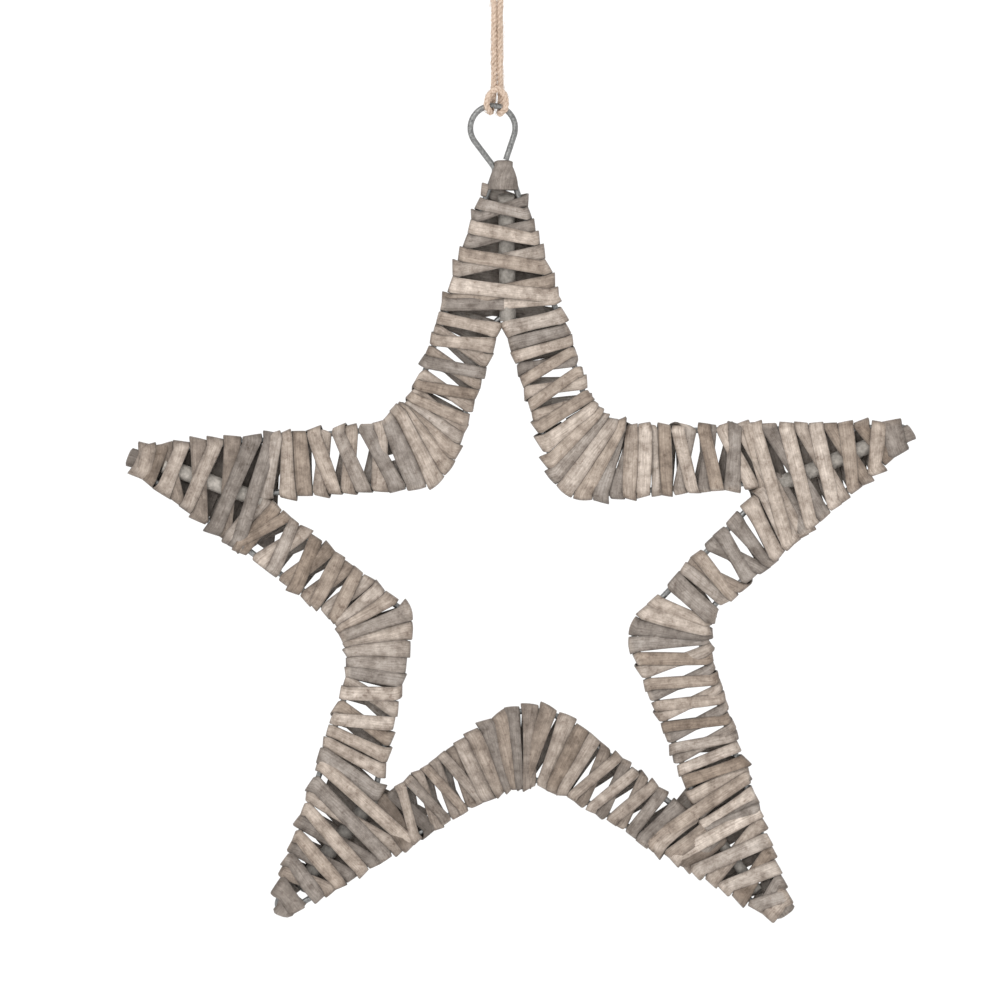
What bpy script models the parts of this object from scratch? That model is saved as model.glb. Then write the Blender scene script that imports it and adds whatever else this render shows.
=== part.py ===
"""A five-pointed star of split willow wound on two bent wires, hung by doubled jute twine.

The star stands in the XZ plane with its front to -Y and +Z up. The origin is the point
where a hook bears in the top of the twine's loop. All sizes are in metres.
"""
import math

import bmesh
import bpy
from mathutils import Vector

# Wire, willow and twine
WIRE_DIAMETER = 0.0030
STRIP_WIDTH = 0.0064
STRIP_THICKNESS = 0.0011
TWINE_DIAMETER = 0.0030
CLEARANCE = 0.0003          # between pieces that touch
LAYER_GAP = 0.0010          # between the two crossing layers of a tip
SHINGLE_GAP = 0.0003        # between turns that overlap in a corner
END_GAP = 0.02              # share of a back pass between the ends of two windings

# Place of the star's middle, to the right of the hook point and below it
STAR_MIDDLE = Vector((0.0131, -0.3223))

# Bend points of the wires' centre lines, x to the right and z up from the star's middle,
# with the bend's radius; counter-clockwise, and each notch follows its tip
TIPS = ("top", "left", "lower_left", "lower_right", "right")
OUTER_TIPS = (
    (-0.0101, 0.2191, 0.0040),
    (-0.2069, 0.0624, 0.0040),
    (-0.1288, -0.1770, 0.0040),
    (0.1374, -0.1786, 0.0040),
    (0.2048, 0.0765, 0.0040),
)
OUTER_NOTCHES = (
    (-0.0599, 0.0766, 0.0320),
    (-0.0811, -0.0310, 0.0310),
    (0.0035, -0.0983, 0.0385),
    (0.0874, -0.0239, 0.0275),
    (0.0377, 0.0738, 0.0275),
)
INNER_TIPS = (
    (-0.0103, 0.1398, 0.0035),
    (-0.1394, 0.0420, 0.0035),
    (-0.0775, -0.1209, 0.0035),
    (0.0962, -0.1325, 0.0035),
    (0.1291, 0.0485, 0.0035),
)
INNER_NOTCHES = (
    (-0.0418, 0.0482, 0.0190),
    (-0.0580, -0.0204, 0.0115),
    (0.0051, -0.0611, 0.0315),
    (0.0549, -0.0284, 0.0135),
    (0.0208, 0.0407, 0.0165),
)
BEND_STEP = math.radians(24)
BEND_CHORD = 0.0080
CUTTER_DEPTH = 0.02

# The eye that the outer wire forms above the top tip
EYE_MIDDLE = (-0.0153, 0.2296)
EYE_RADIUS = 0.0115
EYE_END = (-0.0082, 0.2146)
NECK_DROP = 0.0112          # from the top tip's bend point down to the eye's neck
NECK_RADIUS = 0.0045
WIRE_END_DROP = 0.0125      # from the same point down to the wire's other end

# Core sticks: a point near the head, a point at the foot, and the diameter
STICKS = (
    ((-0.0084, 0.1940), (-0.0076, 0.1306), 0.0086),
    ((-0.1870, 0.0578), (-0.1336, 0.0385), 0.0080),
    ((-0.1157, -0.1609), (-0.0762, -0.1139), 0.0084),
    ((0.1232, -0.1649), (0.0910, -0.1228), 0.0056),
    ((0.1855, 0.0701), (0.1258, 0.0445), 0.0080),
)
STICK_HEAD = 0.0160         # from a tip's end to its stick
STICK_SIDES = 12
UNDER_MARGIN = 0.0020       # how far before a stick the under winding begins to rise
OVER_MARGIN = 0.0080        # and the over winding

# Tip windings: distance of the first turn from the tip's end, and the number of turns
TIP_STARTS = (0.0190, 0.0095, 0.0165, 0.0085, 0.0135)
TIP_TURNS = (4, 5, 5, 5, 5)
OVER_SLANT = 0.43           # share of the pitch that an over turn gains at the front
TUCK = 0.5                  # share of a half pass by which the ends stop short of the stick
CAP_WIDTH = 0.0095
CAP_FOOT_WIDTH = 0.0115
CAP_SHIFTS = (0.0012, 0.0, 0.0, 0.0, 0.0)

# Arm and corner windings
ARM_GAP = 0.0034            # aimed at between the turns of an arm, along the inner wire
LEAVING_LEAD = 0.0080       # how far a first turn leans on towards the corner, at the outer wire
ARRIVING_LEAD = -0.0045     # how far a last turn leans back towards the corner
LEAD_TURNS = 6              # turns over which an arm's lean goes over into half a pitch
CROWDED = 1.15              # turns closer than this many strip widths lie like shingles

# Twine: the left strand from the knot down to the hitch, the hitch and the right strand
STRAND = (
    (0.0017, 0.0000, 0.0005),
    (0.0027, 0.0000, -0.0036),
    (0.0043, 0.0000, -0.0090),
    (0.0044, 0.0000, -0.0140),
    (0.0030, 0.0000, -0.0200),
    (0.0018, 0.0001, -0.0262),
    (0.0017, 0.0003, -0.0440),
    (0.0017, 0.0007, -0.0610),
    (0.0019, 0.0013, -0.0700),
    (0.0031, 0.0027, -0.0762),
)
LEFT_BAR = (
    (-0.0045, -0.0033, -0.0775),
    (-0.0036, -0.0031, -0.0728),
    (-0.0020, -0.0029, -0.0706),
)
BAR_MIDDLE = (0.0000, -0.0028, -0.0701)
RIGHT_BAR = (
    (0.0020, -0.0029, -0.0707),
    (0.0034, -0.0031, -0.0735),
    (0.0040, -0.0033, -0.0785),
)
LEFT_LOOP_X = -0.0049
RIGHT_LOOP_X = 0.0040
LOOP_STEPS = 5              # steps round the wire in each loop of the hitch
TWINE_STEP = 0.0070
KNOT_MIDDLE = (0.0, 0.0, 0.0050)
KNOT_RADII = (0.0046, 0.0040, 0.0042)
TAIL_LENGTH = 0.0120
TAIL_LEAN = math.radians(14)
CREASE = math.radians(45)   # edges sharper than this stay sharp

# Looks: name, colour, roughness and metallic value
WIRE_LOOK = ("galvanised_wire", (0.23, 0.23, 0.23), 0.45, 0.9)
STRIP_LOOK = ("split_willow", (0.42, 0.36, 0.29), 0.75, 0.0)
UNDER_LOOK = ("greyed_split_willow", (0.36, 0.33, 0.29), 0.78, 0.0)
STICK_LOOK = ("willow_rod", (0.38, 0.35, 0.32), 0.7, 0.0)
TWINE_LOOK = ("jute_twine", (0.62, 0.45, 0.29), 0.9, 0.0)

# Worked out from the above
WIRE_RADIUS = WIRE_DIAMETER / 2
TWINE_RADIUS = TWINE_DIAMETER / 2
STAND_OFF = WIRE_RADIUS + CLEARANCE + STRIP_THICKNESS / 2


def cross(a, b):
    return a.x * b.y - a.y * b.x


def placed(row):
    """A bend point's place in the XZ plane, and its radius."""
    return STAR_MIDDLE + Vector(row[:2]), (row[2] if len(row) > 2 else 0.0)


def rounded_path(bends, closed=False):
    """Points along the line that turns at each bend (point, radius)."""
    points = []
    count = len(bends)
    for i, (corner, radius) in enumerate(bends):
        if not closed and i in (0, count - 1):
            points.append(corner.copy())
            continue
        back = (bends[i - 1][0] - corner).normalized()
        ahead = (bends[(i + 1) % count][0] - corner).normalized()
        half = back.angle(ahead) / 2
        middle = corner + (back + ahead).normalized() * (radius / math.sin(half))
        arm = corner + back * (radius / math.tan(half)) - middle
        turn = (math.pi - 2 * half) * (-1 if cross(back, ahead) > 0 else 1)
        steps = max(2, math.ceil(abs(turn) / BEND_STEP), round(abs(turn) * radius / BEND_CHORD))
        for k in range(steps + 1):
            angle = turn * k / steps
            point = middle + Vector((arm.x * math.cos(angle) - arm.y * math.sin(angle),
                                     arm.x * math.sin(angle) + arm.y * math.cos(angle)))
            if not points or (point - points[-1]).length > CLEARANCE:
                points.append(point)
    return points


class Rail:
    """A wire's centre line in the XZ plane, measured along its length."""

    def __init__(self, points, outward):
        self.points = points
        self.marks = [0.0]
        for a, b in zip(points, points[1:]):
            self.marks.append(self.marks[-1] + (b - a).length)
        self.length = self.marks[-1]
        sides = [Vector(((b - a).y, (a - b).x)).normalized() * outward
                 for a, b in zip(points, points[1:])]
        inside = [(a + b).normalized() for a, b in zip(sides, sides[1:])]
        self.sides = [sides[0], *inside, sides[-1]]

    def place(self, s):
        """The point at s, the rail's direction there and the direction away from the band."""
        k = 0
        while k < len(self.points) - 2 and self.marks[k + 1] < s:
            k += 1
        a, b = self.points[k], self.points[k + 1]
        share = (s - self.marks[k]) / (self.marks[k + 1] - self.marks[k])
        away = self.sides[k].lerp(self.sides[k + 1], min(max(share, 0.0), 1.0)).normalized()
        return a + (b - a) * share, (b - a).normalized(), away

    def nearest(self, point):
        """The length at which the rail passes closest to the point."""
        best = (math.inf, 0.0)
        for k, (a, b) in enumerate(zip(self.points, self.points[1:])):
            span = b - a
            share = min(max((point - a).dot(span) / span.length_squared, 0.0), 1.0)
            best = min(best, ((a + span * share - point).length,
                              self.marks[k] + span.length * share))
        return best[1]


def side_rail(tips, notches, i, outward):
    """The centre line from tip i round its notch to the next tip, as if the tips were sharp."""
    bends = [placed(tips[i]), placed(notches[i]), placed(tips[(i + 1) % len(tips)])]
    return Rail(rounded_path(bends), outward)


class Tip:
    """A tip's axis and its two outer legs, measured from the tip's end towards the middle."""

    def __init__(self, i):
        self.apex, radius = placed(OUTER_TIPS[i])
        left = placed(OUTER_NOTCHES[i])[0] - self.apex
        right = placed(OUTER_NOTCHES[i - 1])[0] - self.apex
        self.half = left.angle(right) / 2
        self.axis = (left.normalized() + right.normalized()).normalized()
        self.across = Vector((-self.axis.y, self.axis.x))
        self.end_gap = radius * (1 / math.sin(self.half) - 1)
        self.left = side_rail(OUTER_TIPS, OUTER_NOTCHES, i, 1)
        before = side_rail(OUTER_TIPS, OUTER_NOTCHES, (i - 1) % len(TIPS), 1)
        self.right = Rail(before.points[::-1], -1)

    def down_leg(self, depth):
        """Length along a leg that lies at this depth below the tip's end."""
        return (depth + self.end_gap) / math.cos(self.half)

    def depth(self, point):
        return (point - self.apex).dot(self.axis) - self.end_gap

    def spot(self, depth, shift=0.0):
        """The point at this depth, shifted sideways to the right seen with the tip up."""
        return self.apex + self.axis * (depth + self.end_gap) + self.across * shift


def lifted(point, y):
    return Vector((point.x, y, point.y))


def strip_span(rail, s, way):
    """The length of rail under a strip that crosses it in this direction."""
    return STRIP_WIDTH / abs(cross(rail.place(s)[1], way.normalized()))


def contact(rail, s, pass_in, pass_out, face, layer, tilt, limit):
    """Two rows of two points where a strip folds round a wire from one face to the other."""
    middle, _, outward = rail.place(s)
    rows = []
    for way, y in ((pass_in, face), (pass_out, -face)):
        span = min(limit, strip_span(rail, s, way))
        ends = [rail.place(s + side * span / 2) for side in (-1, 1)]
        sag = max(0.0, (middle - (ends[0][0] + ends[1][0]) / 2).dot(outward))
        row = []
        for (point, _, away), lift in zip(ends, (tilt * span, 0.0)):
            stand = STAND_OFF + lift
            row.append(lifted(point + away * (stand + sag), y * (stand + layer)))
        rows.append(row)
    return rows


def crown(before, after, stick, face, layer):
    """The row where a strip passes over the stick's line between two contacts."""
    head, foot, diameter = stick
    spots = []
    for a, b in zip(before[-1], after[0]):
        start, end = Vector((a.x, a.z)), Vector((b.x, b.z))
        share = cross(foot - start, head - foot) / cross(end - start, head - foot)
        spots.append((start.lerp(end, share), min(share, 1 - share) * (end - start).length))
    past_head = max((spot - head).dot((foot - head).normalized()) for spot, _ in spots)
    if past_head < -(OVER_MARGIN if layer else UNDER_MARGIN):
        return [lifted(spot, face * (STAND_OFF + layer)) for spot, _ in spots]
    need = diameter / 2 + CLEARANCE + STRIP_THICKNESS / 2 + layer
    row = []
    for spot, reach in spots:
        height = need
        for _ in range(6):
            height = need / math.cos(math.atan2(height - STAND_OFF - layer, reach))
        row.append(lifted(spot, face * height))
    return row


def wound_rows(touches, stick=None, layer=0.0, limit=math.inf):
    """Rows of a strip through the touches (rail, length, tilt); the first and last are ends."""
    places = [rail.place(s)[0] for rail, s, _ in touches]
    contacts = []
    for k, (rail, s, tilt) in enumerate(touches):
        pass_in = places[max(k, 1)] - places[max(k, 1) - 1]
        pass_out = places[min(k + 1, len(places) - 1)] - places[min(k, len(places) - 2)]
        face = 1 if k % 2 else -1
        contacts.append(contact(rail, s, pass_in, pass_out, face, layer, tilt, limit))
    rows = []
    last = len(contacts) - 2
    for k, (before, after) in enumerate(zip(contacts, contacts[1:])):
        if k > 0:
            rows.extend(before)
        if stick:
            rows.append(crown(before, after, stick, -1 if k % 2 else 1, layer))
        elif k in (0, last):
            share = 0.5 + END_GAP if k == 0 else 0.5 - END_GAP
            rows.append([a.lerp(b, share) for a, b in zip(before[-1], after[0])])
    if stick:
        rows[0] = [a.lerp(b, TUCK) for a, b in zip(rows[0], rows[1])]
        rows[-1] = [a.lerp(b, TUCK) for a, b in zip(rows[-1], rows[-2])]
    return rows


def material(look):
    name, colour, roughness, metallic = look
    finish = bpy.data.materials.get(name)
    if finish is None:
        finish = bpy.data.materials.new(name)
        finish.use_nodes = True
        shader = finish.node_tree.nodes["Principled BSDF"]
        shader.inputs["Base Color"].default_value = (*colour, 1.0)
        shader.inputs["Roughness"].default_value = roughness
        shader.inputs["Metallic"].default_value = metallic
        finish.diffuse_color = (*colour, 1.0)
    return finish


def added(name, data, look, group):
    item = bpy.data.objects.new(name, data)
    group.objects.link(item)
    if look:
        data.materials.append(material(look))
    return item


def ribbon(name, rows, look, group):
    """A strip through rows of two points, thickened on both sides."""
    mesh = bpy.data.meshes.new(name)
    faces = [(2 * k, 2 * k + 1, 2 * k + 3, 2 * k + 2) for k in range(len(rows) - 1)]
    mesh.from_pydata([point for row in rows for point in row], [], faces)
    item = added(name, mesh, look, group)
    wall = item.modifiers.new("thickness", 'SOLIDIFY')
    wall.thickness = STRIP_THICKNESS
    wall.offset = 0.0
    wall.use_even_offset = True
    return item


def tube(name, points, diameter, look, group, closed=False, resolution=1):
    """A round wire or cord along the points."""
    curve = bpy.data.curves.new(name, 'CURVE')
    curve.dimensions = '3D'
    curve.bevel_depth = diameter / 2
    curve.bevel_resolution = resolution
    curve.use_fill_caps = True
    line = curve.splines.new('POLY')
    line.points.add(len(points) - 1)
    for spot, point in zip(line.points, points):
        spot.co = (*point, 1.0)
    line.use_cyclic_u = closed
    line.use_smooth = True
    return added(name, curve, look, group)


def eye_bends():
    """The two bends of one circle that carry the eye's wire over from end to neck."""
    middle = STAR_MIDDLE + Vector(EYE_MIDDLE)
    bends = []
    for point, side in ((STAR_MIDDLE + Vector(EYE_END), -1), (neck(), 1)):
        span = point - middle
        touch = math.atan2(span.x, span.y) % (2 * math.pi)
        turn = math.acos(EYE_RADIUS / span.length)
        away = touch + side * turn
        if away > math.pi:
            away -= 2 * math.pi
        reach = EYE_RADIUS / math.cos(away / 2)
        bends.append((middle + Vector((math.sin(away / 2), math.cos(away / 2))) * reach,
                      EYE_RADIUS))
    return bends


def neck():
    tip = Tip(0)
    return tip.left.place(NECK_DROP)[0]


def outer_wire(group):
    """One length of wire: its end stands up as the eye, and it goes on round the star."""
    bends = [(STAR_MIDDLE + Vector(EYE_END), 0.0), *eye_bends(), (neck(), NECK_RADIUS)]
    bends.append(placed(OUTER_NOTCHES[0]))
    for tip, notch in zip(OUTER_TIPS[1:], OUTER_NOTCHES[1:]):
        bends += [placed(tip), placed(notch)]
    bends.append((Tip(0).right.place(WIRE_END_DROP)[0], 0.0))
    points = [lifted(point, 0.0) for point in rounded_path(bends)]
    return tube("outer_wire", points, WIRE_DIAMETER, WIRE_LOOK, group)


def inner_path():
    bends = []
    for tip, notch in zip(INNER_TIPS, INNER_NOTCHES):
        bends += [placed(tip), placed(notch)]
    return rounded_path(bends, closed=True)


def inner_wire(group):
    points = [lifted(point, 0.0) for point in inner_path()]
    return tube("inner_wire", points, WIRE_DIAMETER, WIRE_LOOK, group, closed=True)


def foot_cutter(group):
    """The space inside the inner wire's outer edge, where no stick may stand."""
    path = inner_path()
    reach = WIRE_RADIUS + CLEARANCE
    rim = []
    for k, point in enumerate(path):
        along = (path[(k + 1) % len(path)] - path[k - 1]).normalized()
        rim.append(point + Vector((along.y, -along.x)) * reach)
    mesh = bpy.data.meshes.new("foot_cutter")
    form = bmesh.new()
    floor = form.faces.new([form.verts.new(lifted(point, -0.5 * CUTTER_DEPTH)) for point in rim])
    grown = bmesh.ops.extrude_face_region(form, geom=[floor])["geom"]
    moved = [item for item in grown if isinstance(item, bmesh.types.BMVert)]
    bmesh.ops.translate(form, verts=moved, vec=(0.0, CUTTER_DEPTH, 0.0))
    bmesh.ops.recalc_face_normals(form, faces=form.faces)
    form.to_mesh(mesh)
    form.free()
    item = added("foot_cutter", mesh, None, group)
    item.hide_render = True
    item.display_type = 'WIRE'
    return item


def stick_line(i):
    """A stick's head and foot in the XZ plane, and its diameter."""
    head, foot, diameter = STICKS[i]
    head, foot = STAR_MIDDLE + Vector(head), STAR_MIDDLE + Vector(foot)
    tip = Tip(i)
    spread = tip.depth(foot) - tip.depth(head)
    head = foot.lerp(head, (tip.depth(foot) - STICK_HEAD) / spread)
    return head, foot, diameter


def core_stick(i, cutter, group):
    head, foot, diameter = stick_line(i)
    start, end = lifted(foot, 0.0), lifted(head, 0.0)
    bpy.ops.mesh.primitive_cylinder_add(
        vertices=STICK_SIDES, radius=diameter / 2, depth=(end - start).length,
        location=(start + end) / 2,
        rotation=(end - start).to_track_quat('Z', 'Y').to_euler())
    item = moved_to(bpy.context.object, f"core_stick_{TIPS[i]}", STICK_LOOK, group)
    cut = item.modifiers.new("foot", 'BOOLEAN')
    cut.operation = 'DIFFERENCE'
    cut.solver = 'EXACT'
    cut.object = cutter
    smooth(item)
    return item


def tip_windings(i, group):
    """The under and the over winding of a tip, and the cap that closes its end."""
    tip = Tip(i)
    start = TIP_STARTS[i]
    foot = STRIP_WIDTH / math.cos(tip.half)
    leaving = arm_touches(i)[2]
    arriving = arm_touches((i - 1) % len(TIPS))[-2]
    base_left = tip.depth(leaving[0].place(leaving[1])[0]) - foot - CLEARANCE
    base_right = tip.depth(arriving[0].place(arriving[1])[0]) - foot - CLEARANCE
    turns = TIP_TURNS[i]
    pitch = min((base_right - start) / (turns - 1 + OVER_SLANT), (base_left - start) / (turns - 0.5))
    under_start = start + (OVER_SLANT - 0.5) * pitch
    stick = stick_line(i)
    layers = (
        ("under", tip.right, tip.left, under_start, 1 - OVER_SLANT, 0.0, UNDER_LOOK),
        ("over", tip.left, tip.right, start, OVER_SLANT, STRIP_THICKNESS + LAYER_GAP, STRIP_LOOK),
    )
    for label, rail_a, rail_b, first, slant, layer, look in layers:
        touches = [(rail_b, tip.down_leg(first + (slant - 1) * pitch), 0.0)]
        for k in range(turns):
            touches.append((rail_a, tip.down_leg(first + k * pitch), 0.0))
            touches.append((rail_b, tip.down_leg(first + (k + slant) * pitch), 0.0))
        touches.append((rail_a, tip.down_leg(first + turns * pitch), 0.0))
        rows = wound_rows(touches, stick, layer, pitch / 2 - 2 * CLEARANCE)
        ribbon(f"tip_{label}_winding_{TIPS[i]}", rows, look, group)
    front_reach = under_start - foot / 2 - CLEARANCE
    tip_cap(i, tip, front_reach, front_reach - (1 - OVER_SLANT) * pitch / 2, group)


def tip_cap(i, tip, front_reach, back_reach, group):
    """A strip folded over the tip's end, from the front to the back."""
    shift = CAP_SHIFTS[i]
    rows = []
    for depth, width, y in ((front_reach, CAP_FOOT_WIDTH, -1), (-STAND_OFF, CAP_WIDTH, -1),
                            (-STAND_OFF, CAP_WIDTH, 1), (back_reach, CAP_FOOT_WIDTH, 1)):
        rows.append([lifted(tip.spot(depth, shift + side * width / 2), y * STAND_OFF)
                     for side in (-1, 1)])
    ribbon(f"tip_cap_{TIPS[i]}", rows, UNDER_LOOK, group)


def arm_start(i):
    """From the inner wire's bend point at tip i to the first turn that has room beside it."""
    corner = placed(INNER_TIPS[i])[0]
    half = (placed(INNER_NOTCHES[i])[0] - corner).angle(placed(INNER_NOTCHES[i - 1])[0] - corner) / 2
    reach = STAND_OFF + STRIP_THICKNESS / 2 + CLEARANCE
    return reach / math.sin(half) + STRIP_WIDTH / 2


def opposite(inner, outer, s, pitch):
    """Where the outer wire lies across from the inner one, evened out over two turns each way."""
    spots = [outer.nearest(inner.place(s + pitch * k / 2)[0]) for k in range(-4, 5)]
    return sum(spots) / len(spots)


def arm_touches(i):
    """Touches of the helix from tip i to the next: outer wire, inner wire, and so on."""
    inner = side_rail(INNER_TIPS, INNER_NOTCHES, i, -1)
    outer = side_rail(OUTER_TIPS, OUTER_NOTCHES, i, 1)
    start = arm_start(i)
    room = inner.length - start - arm_start((i + 1) % len(TIPS))
    turns = round(room / (STRIP_WIDTH + ARM_GAP))
    pitch = room / turns
    touches = []
    for k in range(-1, turns + 2):
        s = start + k * pitch
        leaving = min(1.0, max(0.0, 1 - k / LEAD_TURNS))
        arriving = min(1.0, max(0.0, 1 - (turns - k) / LEAD_TURNS))
        lead = pitch / 2 + (LEAVING_LEAD - pitch / 2) * leaving + (ARRIVING_LEAD - pitch / 2) * arriving
        across = opposite(inner, outer, s + lead, pitch)
        spacing = across - touches[-1][1] if touches else math.inf
        tilt = (STRIP_THICKNESS + SHINGLE_GAP) / spacing
        touches.append((inner, s, 0.0))
        touches.append((outer, across, tilt if spacing < CROWDED * STRIP_WIDTH else 0.0))
    return touches[1:-1]


def arm_windings(i, group):
    """The helix from tip i to the next, in three lengths: arm, corner and arm."""
    touches = arm_touches(i)
    crowded = [k for k, touch in enumerate(touches[2:-1:2]) if touch[2] > 0]
    turns = len(touches) // 2 - 1
    bounds = (0, crowded[0], crowded[-1] + 1, turns)
    here, there = TIPS[i], TIPS[(i + 1) % len(TIPS)]
    names = (f"arm_winding_{here}_toward_{there}", f"corner_winding_{here}_{there}",
             f"arm_winding_{there}_toward_{here}")
    for name, first, end in zip(names, bounds, bounds[1:]):
        rows = wound_rows(touches[2 * first:2 * end + 2])
        ribbon(name, rows, STRIP_LOOK, group)


def smooth_line(route):
    """Points along a smooth curve through the route, at most TWINE_STEP apart."""
    ends = [2 * route[0] - route[1], *route, 2 * route[-1] - route[-2]]
    points = []
    for a, b, c, d in zip(ends, ends[1:], ends[2:], ends[3:]):
        span = (c - b).length
        start = (c - a) * (span / ((b - a).length + span))
        finish = (d - b) * (span / (span + (d - c).length))
        steps = math.ceil(span / TWINE_STEP)
        for k in range(steps):
            t = k / steps
            points.append(b * (1 - t * t * (3 - 2 * t)) + c * (t * t * (3 - 2 * t))
                          + start * (t * (1 - t) ** 2) - finish * (t * t * (1 - t)))
    points.append(route[-1])
    return points


def hitch_loop(x):
    """Half a turn of twine round the eye's wire, from behind it to the front."""
    middle = STAR_MIDDLE + Vector(EYE_MIDDLE)
    away = Vector((x - middle.x, math.sqrt(EYE_RADIUS ** 2 - (x - middle.x) ** 2)))
    reach = WIRE_RADIUS + TWINE_RADIUS + CLEARANCE
    points = []
    for k in range(LOOP_STEPS + 1):
        angle = math.pi * k / LOOP_STEPS
        point = middle + away - away.normalized() * (reach * math.sin(angle))
        points.append(lifted(point, reach * math.cos(angle)))
    return points


def twine(group):
    """Jute twine, doubled, and hitched round the top of the eye."""
    left = [Vector((-x, y, z)) for x, y, z in STRAND]
    right = [Vector(point) for point in reversed(STRAND)]
    bar = [Vector(point) for point in (*LEFT_BAR, BAR_MIDDLE, *RIGHT_BAR)]
    route = [*left, *hitch_loop(LEFT_LOOP_X), *bar, *reversed(hitch_loop(RIGHT_LOOP_X)), *right]
    return tube("twine", smooth_line(route), TWINE_DIAMETER, TWINE_LOOK, group, resolution=2)


def moved_to(item, name, look, group):
    """Names a new primitive, gives it its look and moves it to its collection."""
    item.name = name
    for owner in list(item.users_collection):
        owner.objects.unlink(item)
    group.objects.link(item)
    if look:
        item.data.materials.append(material(look))
    return item


def smooth(item):
    item.data.shade_smooth()
    item.data.set_sharp_from_angle(angle=CREASE)


def twine_knot(group, tools):
    """The knot that ties the twine's two ends, with the ends standing out of it."""
    middle = Vector(KNOT_MIDDLE)
    bpy.ops.mesh.primitive_uv_sphere_add(segments=16, ring_count=10, radius=1.0, location=middle,
                                         scale=KNOT_RADII)
    knot = moved_to(bpy.context.object, "twine_knot", TWINE_LOOK, group)
    for side in (-1, 1):
        way = Vector((side * math.sin(TAIL_LEAN), 0.0, math.cos(TAIL_LEAN)))
        bpy.ops.mesh.primitive_cylinder_add(
            vertices=8, radius=TWINE_RADIUS, depth=TAIL_LENGTH,
            location=middle + Vector((side * TWINE_RADIUS, 0.0, 0.0)) + way * TAIL_LENGTH / 2,
            rotation=way.to_track_quat('Z', 'Y').to_euler())
        tail = moved_to(bpy.context.object, "knot_tail", None, tools)
        tail.hide_render = True
        tail.display_type = 'WIRE'
        join = knot.modifiers.new("tail", 'BOOLEAN')
        join.operation = 'UNION'
        join.solver = 'EXACT'
        join.object = tail
        smooth(tail)
    smooth(knot)
    return knot


for old in list(bpy.data.objects):
    bpy.data.objects.remove(old, do_unlink=True)
star = bpy.data.collections.new("wicker_star")
cutters = bpy.data.collections.new("cutters")
for group in (star, cutters):
    bpy.context.scene.collection.children.link(group)

outer_wire(star)
inner_wire(star)
cutter = foot_cutter(cutters)
for i in range(len(TIPS)):
    core_stick(i, cutter, star)
    tip_windings(i, star)
    arm_windings(i, star)
twine(star)
twine_knot(star, cutters)
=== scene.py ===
"""The look of a hanging wicker star: split willow on bent wire and rods, hung by jute twine.

Run as a script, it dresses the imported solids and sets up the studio. All sizes are in metres.
"""
import math
import random

import bpy
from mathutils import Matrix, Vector


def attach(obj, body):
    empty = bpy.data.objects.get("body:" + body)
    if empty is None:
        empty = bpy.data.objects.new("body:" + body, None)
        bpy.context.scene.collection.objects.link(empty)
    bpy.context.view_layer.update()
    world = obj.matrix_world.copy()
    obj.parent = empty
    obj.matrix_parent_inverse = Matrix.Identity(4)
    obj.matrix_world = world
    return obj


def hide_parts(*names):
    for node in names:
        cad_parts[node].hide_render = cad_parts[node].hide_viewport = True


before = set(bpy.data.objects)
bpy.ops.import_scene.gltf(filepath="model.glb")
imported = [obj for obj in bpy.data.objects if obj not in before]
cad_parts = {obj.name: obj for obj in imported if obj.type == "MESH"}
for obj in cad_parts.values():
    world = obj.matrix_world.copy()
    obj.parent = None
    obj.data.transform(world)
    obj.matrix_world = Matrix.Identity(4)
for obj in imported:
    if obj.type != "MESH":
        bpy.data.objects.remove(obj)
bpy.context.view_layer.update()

bl_info = {
    "name": "Wicker Star",
    "version": (1, 0, 0),
    "blender": (4, 5, 0),
    "location": "3D View > Sidebar > Wicker Star",
    "description": "Dresses a hanging star of split willow, wire, rods and twine",
    "category": "Object",
}

MM = 0.001
CLEARANCE = 0.0003  # between pieces that touch

# Place of the star's middle, to the right of the hook point and below it
STAR_MIDDLE = Vector((0.0131, -0.3223))

# Bend points of the wires' centre lines, x to the right and z up from the star's middle,
# with the bend's radius; counter-clockwise, and each notch follows its tip
TIPS = ("top", "left", "lower_left", "lower_right", "right")
OUTER_TIPS = (
    (-0.0101, 0.2191, 0.0040),
    (-0.2069, 0.0624, 0.0040),
    (-0.1288, -0.1770, 0.0040),
    (0.1374, -0.1786, 0.0040),
    (0.2048, 0.0765, 0.0040),
)
OUTER_NOTCHES = (
    (-0.0599, 0.0766, 0.0320),
    (-0.0811, -0.0310, 0.0310),
    (0.0035, -0.0983, 0.0385),
    (0.0874, -0.0239, 0.0275),
    (0.0377, 0.0738, 0.0275),
)
INNER_TIPS = (
    (-0.0103, 0.1398, 0.0035),
    (-0.1394, 0.0420, 0.0035),
    (-0.0775, -0.1209, 0.0035),
    (0.0962, -0.1325, 0.0035),
    (0.1291, 0.0485, 0.0035),
)
INNER_NOTCHES = (
    (-0.0418, 0.0482, 0.0190),
    (-0.0580, -0.0204, 0.0115),
    (0.0051, -0.0611, 0.0315),
    (0.0549, -0.0284, 0.0135),
    (0.0208, 0.0407, 0.0165),
)
BEND_STEP = math.radians(6)

# The eye that the outer wire forms above the top tip
EYE_MIDDLE = (-0.0153, 0.2296)
EYE_RADIUS = 0.0115
EYE_END = (-0.0086, 0.2134)
NECK_DROP = 0.0112  # from the top tip's bend point down to the eye's neck
NECK_RADIUS = 0.0045
WIRE_END_DROP = 0.0125  # from the same point down to the wire's other end

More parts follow.
